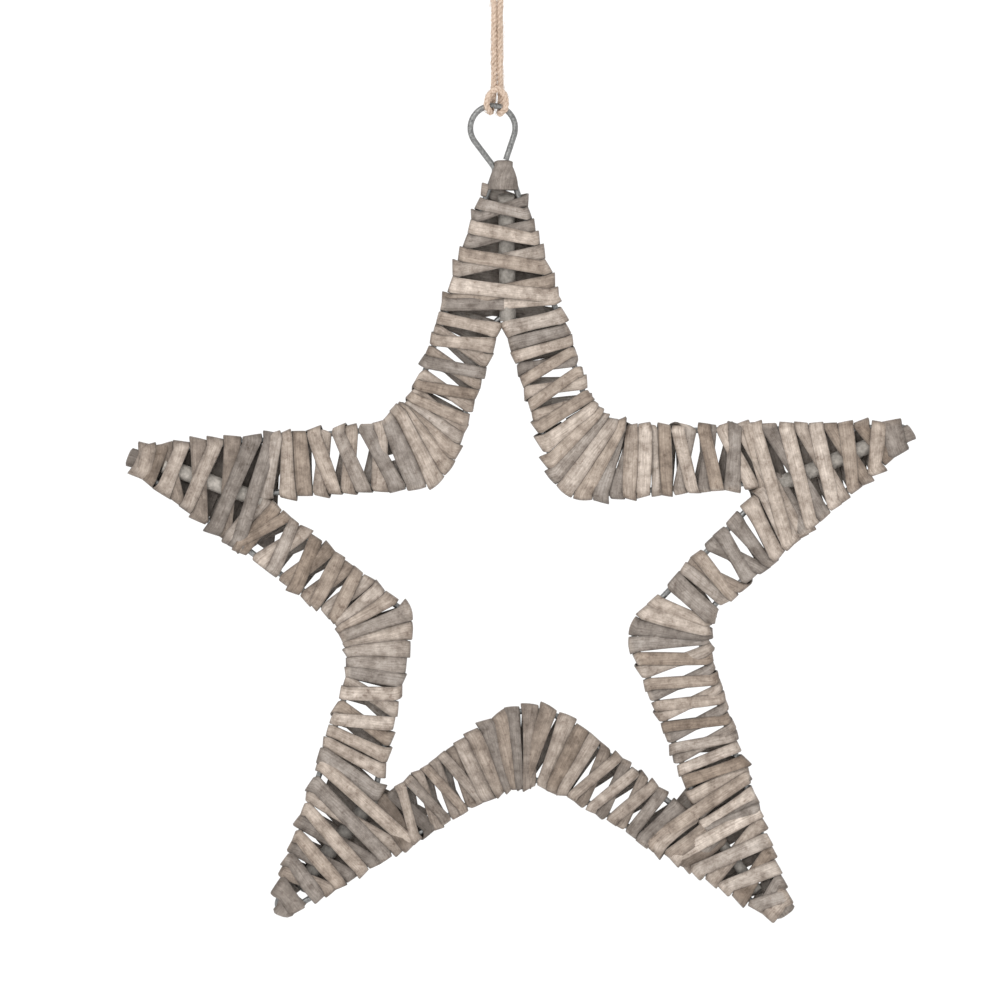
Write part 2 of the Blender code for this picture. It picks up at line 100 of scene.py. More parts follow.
# Core rods: a point near the head, a point at the foot, and the diameter
STICKS = (
    ((-0.0084, 0.1940), (-0.0076, 0.1306), 0.0086),
    ((-0.1870, 0.0578), (-0.1336, 0.0385), 0.0080),
    ((-0.1157, -0.1609), (-0.0762, -0.1139), 0.0084),
    ((0.1232, -0.1649), (0.0910, -0.1228), 0.0056),
    ((0.1855, 0.0701), (0.1258, 0.0445), 0.0080),
)
STICK_HEAD = 0.0160  # from a tip's end to its rod
ROD_SHADES = (0.95, 1.30, 0.50, 0.65, 1.15)  # how pale each rod is, the two lower ones darkened as painted shade under their strips
ROD_CUTS = (0.0056, 0.0015, 0.0050, 0.0020, 0.0015)  # how much shorter its front is cut

# Front passes of the over winding on each tip, in millimetres down the tip's axis from its
# end: where a pass meets the left leg and the right leg, seen with the tip up
TIP_OVER = (
    ((20.6, 25.2, 6.0), (32.1, 37.9, 7.0), (46.4, 52.6), (62.0, 67.2)),
    ((7.7, 7.2), (21.0, 23.1), (33.8, 39.5), (51.8, 57.4), (64.1, 66.2)),
    ((17.9, 23.6), (29.7, 35.4), (42.1, 49.2), (54.9, 61.0), (68.7, 71.8)),
    ((6.2, 11.3), (20.5, 28.7), (33.8, 44.6), (48.2, 55.9), (66.2, 70.0)),
    ((13.3, 22.6), (29.2, 36.4), (43.1, 49.0), (56.9, 63.6), (72.3, 77.9)),
)
# The same for the under winding, whose front passes lie under those
TIP_UNDER = (
    ((27.4, 19.2, 5.0), (40.0, 31.5), (53.8, 44.9), (70.5, 60.3)),
    ((28.0, 15.0), (41.0, 31.0), (56.0, 47.0)),
    ((24.1, 17.0), (36.4, 29.0), (49.2, 42.0), (63.1, 55.0)),
    ((13.3, 7.5), (28.7, 20.0), (43.6, 35.0), (55.9, 49.0)),
    ((21.5, 14.4), (36.4, 29.5), (50.8, 43.6), (66.7, 55.4), (79.0, 70.0)),
)

# Where an under winding starts with a fold on the left leg, and how wide, in millimetres
UNDER_STARTS = ((13.5, 6.6), None, None, None, None)

FULLER = 1.13  # how much wider a front pass is than its visible part


def over(a, b, width=5.6, come=0.0, leave=0.0, low=False):
    """A front pass: where it meets the inner wire and the outer one across from it.

    All in millimetres along the inner wire from its bend point. The strip comes to the inner
    wire and leaves the outer one, behind, at places shifted by come and leave. A low pass has
    others crossing on top.
    """
    return (a * MM, b * MM, width * MM * FULLER, low, come * MM, leave * MM)


def under(a, b, width=5.2, come=0.0, leave=0.0):
    """A low front pass."""
    return over(a, b, width, come, leave, low=True)


# Front passes of the arm windings from each tip to the next, in the order they are wound
ARM_PASSES = (
    (over(0.4, 10.1), over(14.2, 18.2), over(22.6, 29.2), under(31.2, 24.0), over(37.9, 41.2),
     under(43.3, 36.0), over(49.4, 57.0), under(54.8, 50.0, come=-1, leave=-1),
     over(63.6, 67.6, come=-2), under(67.5, 62.0), over(71.4, 75.5), over(79.8, 82.0, 7.0),
     over(88.2, 84.5, 8.0), over(96.9, 88.0, 7.0), over(106.9, 103.5, 8.0),
     over(117.5, 126.5, 6.5), under(125.3, 112.0, 6.5), over(134.7, 143.7, 6.5),
     under(142.2, 135.6, 6.0), over(149.0, 156.0, 6.5), under(156.0, 150.6, 6.0),
     over(164.0, 164.0, 6.8), over(172.5, 170.6, 6.2), over(183.8, 176.5, 6.5)),
    (under(7.0, 6.0, 8.0), under(14.5, 12.0, 7.0), over(21.5, 10.3, 4.8),
     over(27.0, 31.9, 6.0), under(33.4, 25.8, 7.6), over(41.2, 46.4, 6.4),
     under(49.0, 42.4, 7.6), over(56.3, 61.0, 6.6), under(62.5, 56.3, 7.2), over(68.2, 76.8, 6.6),
     under(74.4, 69.5, 6.4), over(81.3, 84.0, 5.8), over(89.0, 89.4), over(99.8, 97.0, 6.0),
     under(109.0, 110.5, 8.5), over(118.4, 116.9, 8.0), over(127.0, 126.2, 6.8),
     over(134.7, 133.8, 6.0), over(141.6, 147.8, 6.2, come=-4), under(149.4, 140.6, 5.5),
     over(157.8, 163.4, 6.2), under(164.4, 156.9, 5.5), over(173.9, 170.3, 5.8),
     over(181.3, 176.3), over(193, 183.8, 8)),
    (under(7.0, 8.0, 9.0), under(15.0, 22.5, 6.0), over(18.8, 11.9, 4.5),
     over(25.9, 31.2, 4.5), under(30.8, 25.0, 4.6),
     over(36.4, 41.6, 4.7), under(41.0, 36.2, 4.7), over(47.0, 53.0, 4.9), under(52.0, 46.5, 4.9),
     over(57.5, 56.9, 7.2), over(65.4, 67.8, 6.5), over(74.0, 75.0), over(82.0, 84.0, 8.5),
     over(88.5, 87.0, 4.8), under(97.5, 95.5, 6.0), over(106.2, 92.5, 6.2),
     over(116.9, 113.3, 6.6), over(126.5, 120.3, 7.0), over(133.6, 129.7, 5.6),
     under(142.6, 144.7, 5.0, come=-4), over(149.0, 137.8, 5.0), under(154.4, 157.2, 5.0),
     over(160.9, 151.3, 5.2), under(166.3, 168.8, 5.0), over(172.2, 164.0), over(177.5, 175.0),
     over(189.0, 182.5, 6.2, come=1), over(197.5, 190.3, 5.8), over(208.4, 199.7, 7.0),
     under(215.5, 208, 7.5)),
    (over(2.8, 5.0, 5.0), over(6.0, 13.4, 4.6), over(12.8, 23.7, 5.0), over(21.5, 27.5, 5.0),
     over(30.3, 29.7, 5.3), over(36.9, 39.2, 5.0), over(47.8, 44.0, 4.9), under(42.2, 47.8, 4.8),
     over(59.5, 54.0, 4.9), under(53.7, 59.0, 4.9), over(71.0, 65.0, 5.1), under(65.3, 69.3, 4.9),
     over(82.8, 76.0), under(76.8, 82.3, 4.9), over(96.9, 90.3, 6.2), under(89.7, 95.0),
     over(104.4, 110.5, 6.0), under(114.0, 114.5, 7.5), over(122.8, 120.0, 7.5),
     over(129.7, 128.8, leave=4),
     over(145.3, 136.9, 8.5, come=2), over(153.8, 154.8, 5.8), over(161.6, 159.4, 6.0),
     under(157.0, 164.5), over(177.8, 174.4, 6.5), under(172.0, 182.0, 6.0, leave=2),
     under(187.8, 187.0, 6.3, come=2), over(200.3, 192.5, 7.0), over(210.0, 203.0, 8.0),
     under(217.0, 213.0, 8.0)),
    (over(5.3, 12.8, 5.4), under(11.5, 26.5, 6.0), over(21.7, 20.0, 5.9), over(30.7, 35.3, 6.2),
     under(36.6, 32.0), over(42.5, 48.8, 6.2, come=-2), under(49.4, 43.4), over(55.5, 57.2),
     under(60.5, 63.5, 3.6), over(67.5, 68.5, 7.3), over(75.0, 78.5, 6.5), under(81.5, 75.0, 6),
     over(89.0, 90.0, 6.8), over(98.0, 92.0, 8.0), over(108.0, 102.0, 7.5),
     over(117.0, 117.0, 6.5), over(123.4, 124.0, 5.8, leave=3), over(133.1, 133.0, 6.2, 3, 4),
     over(143.0, 143.4, 5.5, come=2), under(148.0, 142.0, 5.0), over(155.0, 162.2),
     under(161.0, 155.6), over(168.1, 173.4, 5.3), under(173.4, 168.5), over(180.3, 179.0, 5.2),
     over(186.6, 185.0, 5.8), over(194.7, 191.9, 6.5), over(208.8, 202.8, 6.5)),
)
# How dark the strips of each side and each tip have grown, and the painted shade that darkens
# those lying under others
ARM_AGES = (0.11, 0.06, 0.42, 0.08, 0.03)
TIP_AGES = (0.08, 0.42, 0.20, 0.02, 0.05)
LOW_SHADE = 0.24
CORNER_REACH = 20 * MM  # passes nearer the notch than this belong to the corner
# How far ahead a strip may go on round the wire, and how much of a back pass lies behind
# front ones, on each side
HIDDEN_REACH = 14 * MM
HIDDEN_SHARES = (0.75, 0.25, 0.60, 0.85, 0.75)
BACK_SHARES = (1.0, 1.0, 0.56, 0.62, 0.68)  # a back pass's width on each tip to a front one's
BACK_SLIPS = (0.0, 0.0, 0.0022, 0.0, 0.0008)  # how far back passes slip on the right leg
EVEN_STEP = 4.9 * MM  # between the places over which the one across from a point is evened
EVEN_REACH = 4  # and how many lie on each side of it
END_PITCH = 9 * MM  # from a winding's first and last pass to the ones taken to lie beyond
CROWDED = 1.1  # passes are crowded when closer together than this many widths,
CROWDED_LIFT = 1.2  # which tilts them by this many thicknesses over their spacing,
CROWDED_SPACING = 2.2 * MM  # or over this if it is more
END_REACH = 8 * MM  # from a winding's last folds to its two ends
END_ROOM = 2 * MM  # and from those to the bend points of the tips

# Where a tip's strip starts and ends, in millimetres above its first fold and below its last,
# how wide it ends to its last pass, and how much darker one starts that starts with a fold
LEAD = 10
LEAST_LEAD = 4.0
TAIL = 13
TAIL_WIDTH = 1.5
START_AGE = 0.35
# How far above a rod's head a strip starts to rise over it, and over what length it does
OVER_ROD_ROOM = 0.006
UNDER_ROD_ROOM = 0.001
TURN_ROD_ROOM = 0.003
ROD_RISE = 0.006

# Twine: a strand from the knot down to the eye, mirrored for the left one, and the bar of the
# hitch in front of the strands
STRAND = (
    (0.0017, 0.0000, 0.0005),
    (0.0027, 0.0000, -0.0036),
    (0.0043, 0.0000, -0.0090),
    (0.0044, 0.0000, -0.0140),
    (0.0030, 0.0000, -0.0200),
    (0.0017, 0.0001, -0.0262),
    (0.0015, 0.0003, -0.0440),
    (0.0015, 0.0007, -0.0610),
    (0.0016, 0.0013, -0.0700),
    (0.0019, 0.0027, -0.0762),
)
BAR = (
    (-0.0053, -0.0034, -0.0802),
    (-0.0045, -0.0036, -0.0771),
    (-0.0028, -0.0038, -0.0746),
    (0.0001, -0.0039, -0.0728),
    (0.0028, -0.0038, -0.0746),
    (0.0042, -0.0036, -0.0773),
    (0.0044, -0.0034, -0.0806),
)
LEFT_LOOP_X = (-0.0025, -0.0053)  # behind the wire and in front of it
RIGHT_LOOP_X = (0.0016, 0.0042)
LOOP_STEPS = 5
TWINE_STEP = 0.0006
FIBRE_DIAMETER = 0.00016
FIBRE_STEPS = 4
FUZZ_FIBRES = 330
FUZZ_STRIDE = 3  # steps of the twine to each step of a fibre that stands off it
FUZZ_SPAN = 14
FUZZ_HEIGHT = 0.0017
FUZZ_TURN = 1.2
FRAYED_FIBRES = 60
FRAYED_FROM = 0.0015  # from a cut end back to where its fibres come loose
FRAYED_LENGTHS = (0.002, 0.0045)
PLY_PITCH = 0.0075
PLY_RING = 0.27  # from the twine's middle to a ply's, to the twine's diameter
PLY_DIAMETER = 2.05  # a ply's diameter to that distance
KNOT_MIDDLE = (0.0, 0.0, 0.0050)
KNOT_BEND = 0.00088
KNOT_DEPTH = 1.3
KNOT_STEPS = 90
TAIL_LENGTH = 0.0120
TAIL_LEAN = math.radians(14)
TAIL_BOW = 0.0010
TAIL_STEPS = 16

# The photograph's view: its middle, its width and how far the camera stands
VIEW_MIDDLE = (0.0015, -0.2834)
VIEW_WIDTH = 0.5128
CAMERA_DISTANCE = 3.0
SENSOR_WIDTH = 36.0
CLIP_END = 50.0

# The pale sweep behind the star, and the lights: name, place, width and power
FLOOR_LEVEL = -0.70
SWEEP_WIDTH = 10.0
WALL_DEPTH = 4.5
WALL_HEIGHT = 5.0
SWEEP_BEND = 0.35
SWEEP_GLOW = 0.12
LIGHTS = (
    ("key_light", (-0.9, -2.6, 0.9), 1.0, 20.0),
    ("fill_light", (0.8, -2.8, -0.5), 1.4, 3.0),
)

# How finely the pieces are modelled
COLUMNS = 6
PASS_STEPS = 10
FOLD_STEPS = 6
CAP_STEPS = 6
WIRE_RESOLUTION = 4
PLY_RESOLUTION = 3
ACROSS = [2 * k / COLUMNS - 1 for k in range(COLUMNS + 1)]  # places from edge to edge

# How a strip lies on a wire: how little and how much it spreads there, how slantwise it may
# cross, how its fold leans with the passes and by chance, and how full and flat the fold is
SPREADS = (0.84, 1.3)
LEAST_CROSSING = 0.5
FOLD_LEAN = -0.24
FOLD_CHANCE = 0.3
FOLD_LIFT = 0.0006
FOLD_CROWN = 0.8
FOLD_FULLNESS = 0.8
FOLD_FLATNESS = 0.75
# How a pass lies between two folds: its bow, its twist, its width and how full its middle is
PASS_BOW = 0.0006
PASS_TWIST = 0.0005
PASS_WIDTHS = (0.96, 1.07)
PASS_FULLNESS = 0.7
# How uneven the strips' ages are, and how much painted shade darkens their edges and folds, as if
# they turned away from the light
AGE_CHANCE = (-0.05, 0.16)
EDGE_SHARPNESS = 2.4
EDGE_SHADE = 0.7
FOLD_SHADE = 0.75
# The easing of edges: a strip's to its thickness, a rod's, and the angles that count
STRIP_EASING = 0.22
ROD_EASING = 0.0004
EASED_ANGLE = math.radians(50)
SMOOTH_ANGLE = math.radians(40)


def cross(a, b):
    return a.x * b.y - a.y * b.x


def mix(a, b, share):
    return a + (b - a) * share


def placed(row):
    """A bend point's place in the XZ plane, and its radius."""
    return STAR_MIDDLE + Vector(row[:2]), (row[2] if len(row) > 2 else 0.0)


def rounded_path(bends, closed=False):
    """Points along the line that turns at each bend (point, radius)."""
    points = []
    count = len(bends)
    for i, (corner, radius) in enumerate(bends):
        if not closed and i in (0, count - 1):
            points.append(corner.copy())
            continue
        back = (bends[i - 1][0] - corner).normalized()
        ahead = (bends[(i + 1) % count][0] - corner).normalized()
        half = back.angle(ahead) / 2
        middle = corner + (back + ahead).normalized() * (radius / math.sin(half))
        arm = corner + back * (radius / math.tan(half)) - middle
        turn = (math.pi - 2 * half) * (-1 if cross(back, ahead) > 0 else 1)
        steps = max(2, math.ceil(abs(turn) / BEND_STEP))
        for k in range(steps + 1):
            angle = turn * k / steps
            point = middle + Vector((arm.x * math.cos(angle) - arm.y * math.sin(angle),
                                     arm.x * math.sin(angle) + arm.y * math.cos(angle)))
            if not points or (point - points[-1]).length > CLEARANCE / 4:
                points.append(point)
    return points


class Rail:
    """A wire's centre line in the XZ plane, measured along its length."""

    def __init__(self, points, outward):
        self.points = points
        self.marks = [0.0]
        for a, b in zip(points, points[1:]):
            self.marks.append(self.marks[-1] + (b - a).length)
        self.length = self.marks[-1]
        sides = [Vector(((b - a).y, (a - b).x)).normalized() * outward
                 for a, b in zip(points, points[1:])]
        inside = [(a + b).normalized() for a, b in zip(sides, sides[1:])]
        self.sides = [sides[0], *inside, sides[-1]]

    def place(self, s):
        """The point at s, the rail's direction there and the direction away from the band."""
        k = 0
        while k < len(self.points) - 2 and self.marks[k + 1] < s:
            k += 1
        a, b = self.points[k], self.points[k + 1]
        share = (s - self.marks[k]) / (self.marks[k + 1] - self.marks[k])
        away = self.sides[k].lerp(self.sides[k + 1], min(max(share, 0.0), 1.0)).normalized()
        return a + (b - a) * share, (b - a).normalized(), away

    def nearest(self, point):
        """The length at which the rail passes closest to the point."""
        best = (math.inf, 0.0)
        for k, (a, b) in enumerate(zip(self.points, self.points[1:])):
            span = b - a
            share = min(max((point - a).dot(span) / span.length_squared, 0.0), 1.0)
            best = min(best, ((a + span * share - point).length,
                              self.marks[k] + span.length * share))
        return best[1]


def side_rail(tips, notches, i, outward):
    """The centre line from tip i round its notch to the next tip, as if the tips were sharp."""
    bends = [placed(tips[i]), placed(notches[i]), placed(tips[(i + 1) % len(tips)])]
    return Rail(rounded_path(bends), outward)


class Tip:
    """A tip's axis and its two outer legs, measured from the tip's end towards the middle."""

    def __init__(self, i):
        self.number = i
        self.apex, radius = placed(OUTER_TIPS[i])
        left = placed(OUTER_NOTCHES[i])[0] - self.apex
        right = placed(OUTER_NOTCHES[i - 1])[0] - self.apex
        self.half = left.angle(right) / 2
        self.axis = (left.normalized() + right.normalized()).normalized()
        self.across = Vector((-self.axis.y, self.axis.x))
        self.end_gap = radius * (1 / math.sin(self.half) - 1)
        self.left = side_rail(OUTER_TIPS, OUTER_NOTCHES, i, 1)
        before = side_rail(OUTER_TIPS, OUTER_NOTCHES, (i - 1) % len(TIPS), 1)
        self.right = Rail(before.points[::-1], -1)

    def down_leg(self, depth):
        """Length along a leg that lies at this depth below the tip's end."""
        return (depth + self.end_gap) / math.cos(self.half)

    def depth(self, point):
        return (point - self.apex).dot(self.axis) - self.end_gap

    def spot(self, depth, shift=0.0):
        """The point at this depth, shifted sideways to the right seen with the tip up."""
        return self.apex + self.axis * (depth + self.end_gap) + self.across * shift


def lifted(point, y):
    return Vector((point.x, y, point.y))


def eye_bends():
    """The two bends of one circle that carry the eye's wire over from end to neck."""
    middle = STAR_MIDDLE + Vector(EYE_MIDDLE)
    bends = []
    for point, side in ((STAR_MIDDLE + Vector(EYE_END), -1), (neck(), 1)):
        span = point - middle
        touch = math.atan2(span.x, span.y) % (2 * math.pi)
        turn = math.acos(EYE_RADIUS / span.length)
        away = touch + side * turn
        if away > math.pi:
            away -= 2 * math.pi
        reach = EYE_RADIUS / math.cos(away / 2)
        bends.append((middle + Vector((math.sin(away / 2), math.cos(away / 2))) * reach,
                      EYE_RADIUS))
    return bends


def neck():
    return Tip(0).left.place(NECK_DROP)[0]


def outer_path():
    bends = [(STAR_MIDDLE + Vector(EYE_END), 0.0), *eye_bends(), (neck(), NECK_RADIUS)]
    bends.append(placed(OUTER_NOTCHES[0]))
    for tip, notch in zip(OUTER_TIPS[1:], OUTER_NOTCHES[1:]):
        bends += [placed(tip), placed(notch)]
    bends.append((Tip(0).right.place(WIRE_END_DROP)[0], 0.0))
    return rounded_path(bends)


def inner_path():
    bends = []
    for tip, notch in zip(INNER_TIPS, INNER_NOTCHES):
        bends += [placed(tip), placed(notch)]
    return rounded_path(bends, closed=True)


def stick_line(i):
    """A rod's head and foot in the XZ plane, and its diameter."""
    head, foot, diameter = STICKS[i]
    head, foot = STAR_MIDDLE + Vector(head), STAR_MIDDLE + Vector(foot)
    tip = Tip(i)
    spread = tip.depth(foot) - tip.depth(head)
    head = foot.lerp(head, (tip.depth(foot) - STICK_HEAD) / spread)
    return head, foot, diameter


def smooth_line(route, step):
    """Points along a smooth curve through the route, at most step apart."""
    ends = [2 * route[0] - route[1], *route, 2 * route[-1] - route[-2]]
    points = []
    for a, b, c, d in zip(ends, ends[1:], ends[2:], ends[3:]):
        span = (c - b).length
        start = (c - a) * (span / ((b - a).length + span))
        finish = (d - b) * (span / (span + (d - c).length))
        steps = math.ceil(span / step)
        for k in range(steps):
            t = k / steps
            points.append(b * (1 - t * t * (3 - 2 * t)) + c * (t * t * (3 - 2 * t))
                          + start * (t * (1 - t) ** 2) - finish * (t * t * (1 - t)))
    points.append(route[-1])
    return points


def hitch_loop(x_behind, x_front):
    """Half a turn of twine round the eye's wire, from behind it to the front."""
    sizes = bpy.context.scene.star_sizes
    middle = STAR_MIDDLE + Vector(EYE_MIDDLE)
    reach = (sizes.wire_diameter + sizes.twine_diameter) / 2 + CLEARANCE
    points = []
    for k in range(LOOP_STEPS + 1):
        angle = math.pi * k / LOOP_STEPS
        x = mix(x_behind, x_front, k / LOOP_STEPS) - middle.x
        away = Vector((x, math.sqrt(EYE_RADIUS ** 2 - x * x)))
        point = middle + away - away.normalized() * (reach * math.sin(angle))
        points.append(lifted(point, reach * math.cos(angle)))
    return points


def twine_route():
    left = [Vector((-x, y, z)) for x, y, z in STRAND]
    right = [Vector(point) for point in reversed(STRAND)]
    bar = [Vector(point) for point in BAR]
    return [*left, *hitch_loop(*LEFT_LOOP_X), *bar, *reversed(hitch_loop(*RIGHT_LOOP_X)), *right]


def path_frames(points):
    """For each point, the point and two directions square to the line that don't twist."""
    frames = []
    side = None
    for k, point in enumerate(points):
        along = (points[min(k + 1, len(points) - 1)] - points[max(k - 1, 0)]).normalized()
        if side is None:
            side = along.orthogonal().normalized()
        side = (side - along * side.dot(along)).normalized()
        frames.append((point, side, along.cross(side)))
    return frames


# Strips

class Fold:
    """Where a strip goes round a wire, from its arrival at s_in to its departure at s_out.

    Its width and its distance from the wire may change on the way round. Its room is how far
    along the wire it may spread both ways, where it has neighbours. How dark the pass before it
    is comes from its age, and from painted shade where it lies under others.
    """

    def __init__(self, rail, s_in, s_out, widths, stands, tilt=0.0, age_and_shade=0.0):
        self.rail = rail
        self.s_in = s_in
        self.s_out = s_out
        self.widths = widths
        self.stands = stands
        self.tilt = tilt
        self.age_and_shade = age_and_shade
        self.room = None

    def arrival(self):
        return self.rail.place(self.s_in)[0]

    def departure(self):
        return self.rail.place(self.s_out)[0]


def share_out(folds, fronts):
    """Gives each fold the room on the wire that lies half way to its neighbours in front."""
    order = sorted(zip(fronts, range(len(folds))))
    for (low, _), (mark, k), (high, _) in zip(order, order[1:], order[2:]):
        folds[k].room = ((mark - low) / 2 - CLEARANCE / 4, (high - mark) / 2 - CLEARANCE / 4)


class Winder:
    """Works out the rows of points of a strip that is wound round wires."""

    def __init__(self, seed, stick=None, stick_room=0.0):
        self.dice = random.Random(seed)
        self.stick = stick
        self.stick_room = stick_room

    @staticmethod
    def reaches(fold, s, way, width):
        """How far a strip that crosses the wire spreads along it, back and ahead."""
        crossing = abs(cross(fold.rail.place(s)[1], way.normalized()))
        half = width / 2 / max(LEAST_CROSSING, crossing)
        least, most = SPREADS
        return [min(max(room, least * half), most * half) for room in fold.room or (half, half)]

    def fold_rows(self, fold, way_in, way_out, face):
        """The rows of a fold, from the face that the strip comes on to the other one."""
        sizes = bpy.context.scene.star_sizes
        _, along, away = fold.rail.place(fold.s_in)
        lean_in = way_in.dot(along) / max(1e-6, abs(way_in.dot(away)))
        lean_out = -way_out.dot(along) / max(1e-6, abs(way_out.dot(away)))
        chance = self.dice.uniform(-FOLD_CHANCE, FOLD_CHANCE)
        slope = FOLD_LEAN * (lean_in + lean_out) / 2 + chance
        lift = self.dice.uniform(0.0, FOLD_LIFT)
        spread_in = self.reaches(fold, fold.s_in, way_in, fold.widths[0])
        spread_out = self.reaches(fold, fold.s_out, way_out, fold.widths[1])
        rows = []
        for j in range(FOLD_STEPS + 1):
            t = j / FOLD_STEPS
            turn = math.cos(math.pi * t)
            reach = math.sin(math.pi * t) ** FOLD_FULLNESS if 0 < j < FOLD_STEPS else 0.0
            s = mix(fold.s_in, fold.s_out, t)
            back, ahead = (mix(a, b, t) for a, b in zip(spread_in, spread_out))
            half = (back + ahead) / 2
            row = []
            for q in ACROSS:
                point, _, away = fold.rail.place(s + mix(-back, ahead, (q + 1) / 2))
                bulge = lift + sizes.strip_crown * (1 - q * q) + fold.tilt * half * (1 - q)
                stand = mix(*fold.stands, t) + bulge
                out = sizes.under_stand + bulge - sizes.strip_crown * FOLD_CROWN * (1 - q * q)
                out += abs(slope) * half * (1 + math.copysign(1, slope) * q)
                row.append(lifted(point + away * out * reach, face * stand
                                  * math.copysign(abs(turn) ** FOLD_FLATNESS, turn)))
            rows.append(row)
        return rows

    def pass_rows(self, start, end, width, face):
        """The rows strictly between two folds' rows, drawn in to the strip's own width."""
        bow = self.dice.uniform(0.0, PASS_BOW)
        twist = self.dice.uniform(-PASS_TWIST, PASS_TWIST)
        way = (end[COLUMNS // 2] - start[COLUMNS // 2]).normalized()
        wide = sum((row[-1] - row[0]).cross(way).length for row in (start, end)) / 2
        pinch = width * self.dice.uniform(*PASS_WIDTHS) / wide - 1
        rows = []
        for j in range(1, PASS_STEPS):
            t = j / PASS_STEPS
            swell = math.sin(math.pi * t) ** PASS_FULLNESS
            row = [a.lerp(b, t) for a, b in zip(start, end)]
            middle = (row[0] + row[-1]) / 2
            turned = []
            for k, (q, point) in enumerate(zip(ACROSS, row)):
                moved = middle + (point - middle) * (1 + pinch * swell)
                moved.y += face * (bow * swell + twist * q * swell)
                if self.stick:
                    moved.y = self.over_stick(moved, start[k], end[k], face)
                turned.append(moved)
            rows.append(turned)
        return rows

    def over_stick(self, point, start, end, face):
        """How far out a strip lies that is drawn tight over the rod between two wires."""
        sizes = bpy.context.scene.star_sizes
        head, foot, diameter = self.stick
        axis = (foot - head).normalized()
        spots = [Vector((spot.x, spot.z)) - head for spot in (point, start, end)]
        here, from_start, from_end = (cross(axis, spot) for spot in spots)
        rise = min(1.0, max(0.0, (spots[0].dot(axis) + self.stick_room) / ROD_RISE))
        base, reach = abs(end.y), abs(from_end)
        if here * from_start > 0:
            base, reach = abs(start.y), abs(from_start)
        radius = diameter / 2 + CLEARANCE + sizes.strip_thickness / 2 + base - sizes.under_stand
        radius *= rise * rise * (3 - 2 * rise)
        far = math.hypot(reach, base)
        x = abs(here)
        on_rod = math.sqrt(max(0.0, radius * radius - x * x))
        if radius <= base or far <= radius:
            return face * max(base, on_rod, abs(point.y))
        angle = math.atan2(base, reach) + math.acos(radius / far)
        touch = Vector((radius * math.cos(angle), radius * math.sin(angle)))
        if x <= touch.x:
            return face * on_rod
        return face * mix(touch.y, base, (x - touch.x) / max(1e-6, reach - touch.x))

    def wind(self, folds, tucked=False, whole=False):
        """Rows from the middle of the first pass to the middle of the last, or to its end.

        A whole strip starts with its first fold instead. Each row comes with its tone, how
        much of it is a fold, which takes painted fold shade, and how dark it is from its age and
        from painted shade where it lies under others.
        """
        ways = [b.arrival() - a.departure() for a, b in zip(folds, folds[1:])]
        ages_and_shades = [fold.age_and_shade + self.dice.uniform(*AGE_CHANCE) for fold in folds]
        last = len(folds) - 1
        rows, tones = [], []
        before = None
        tone = self.dice.random()
        for k, fold in enumerate(folds):
            face_in = -1 if k % 2 == 0 else 1
            turn = self.fold_rows(fold, ways[max(k - 1, 0)], ways[min(k, last - 1)], face_in)
            if before is not None:
                between = self.pass_rows(before, turn[0], fold.widths[0], face_in)
                if k == 1 and not whole:
                    between = between[PASS_STEPS // 2:]
                if k == last and not tucked:
                    between = between[:PASS_STEPS // 2]
                rows += between
                tones += [(tone, 0.0, ages_and_shades[k])] * len(between)
            if 0 < k < last or whole and k == 0:
                next_tone = self.dice.random()
                rows += turn
                for j in range(FOLD_STEPS + 1):
                    t = j / FOLD_STEPS
                    tones.append((mix(tone, next_tone, t), math.sin(math.pi * t) ** 2,
                                  mix(ages_and_shades[k], ages_and_shades[k + 1], t)))
                tone = next_tone
            before = turn[-1]
        return rows, tones


def eased(item, width, segments):
    """Rounds a piece's sharp edges and shades the rest smooth."""
    edge = item.modifiers.new("edges", 'BEVEL')
    edge.width = width
    edge.segments = segments
    edge.limit_method = 'ANGLE'
    edge.angle_limit = EASED_ANGLE
    bpy.ops.object.modifier_apply(modifier="edges")
    bpy.ops.object.shade_smooth_by_angle(angle=SMOOTH_ANGLE)


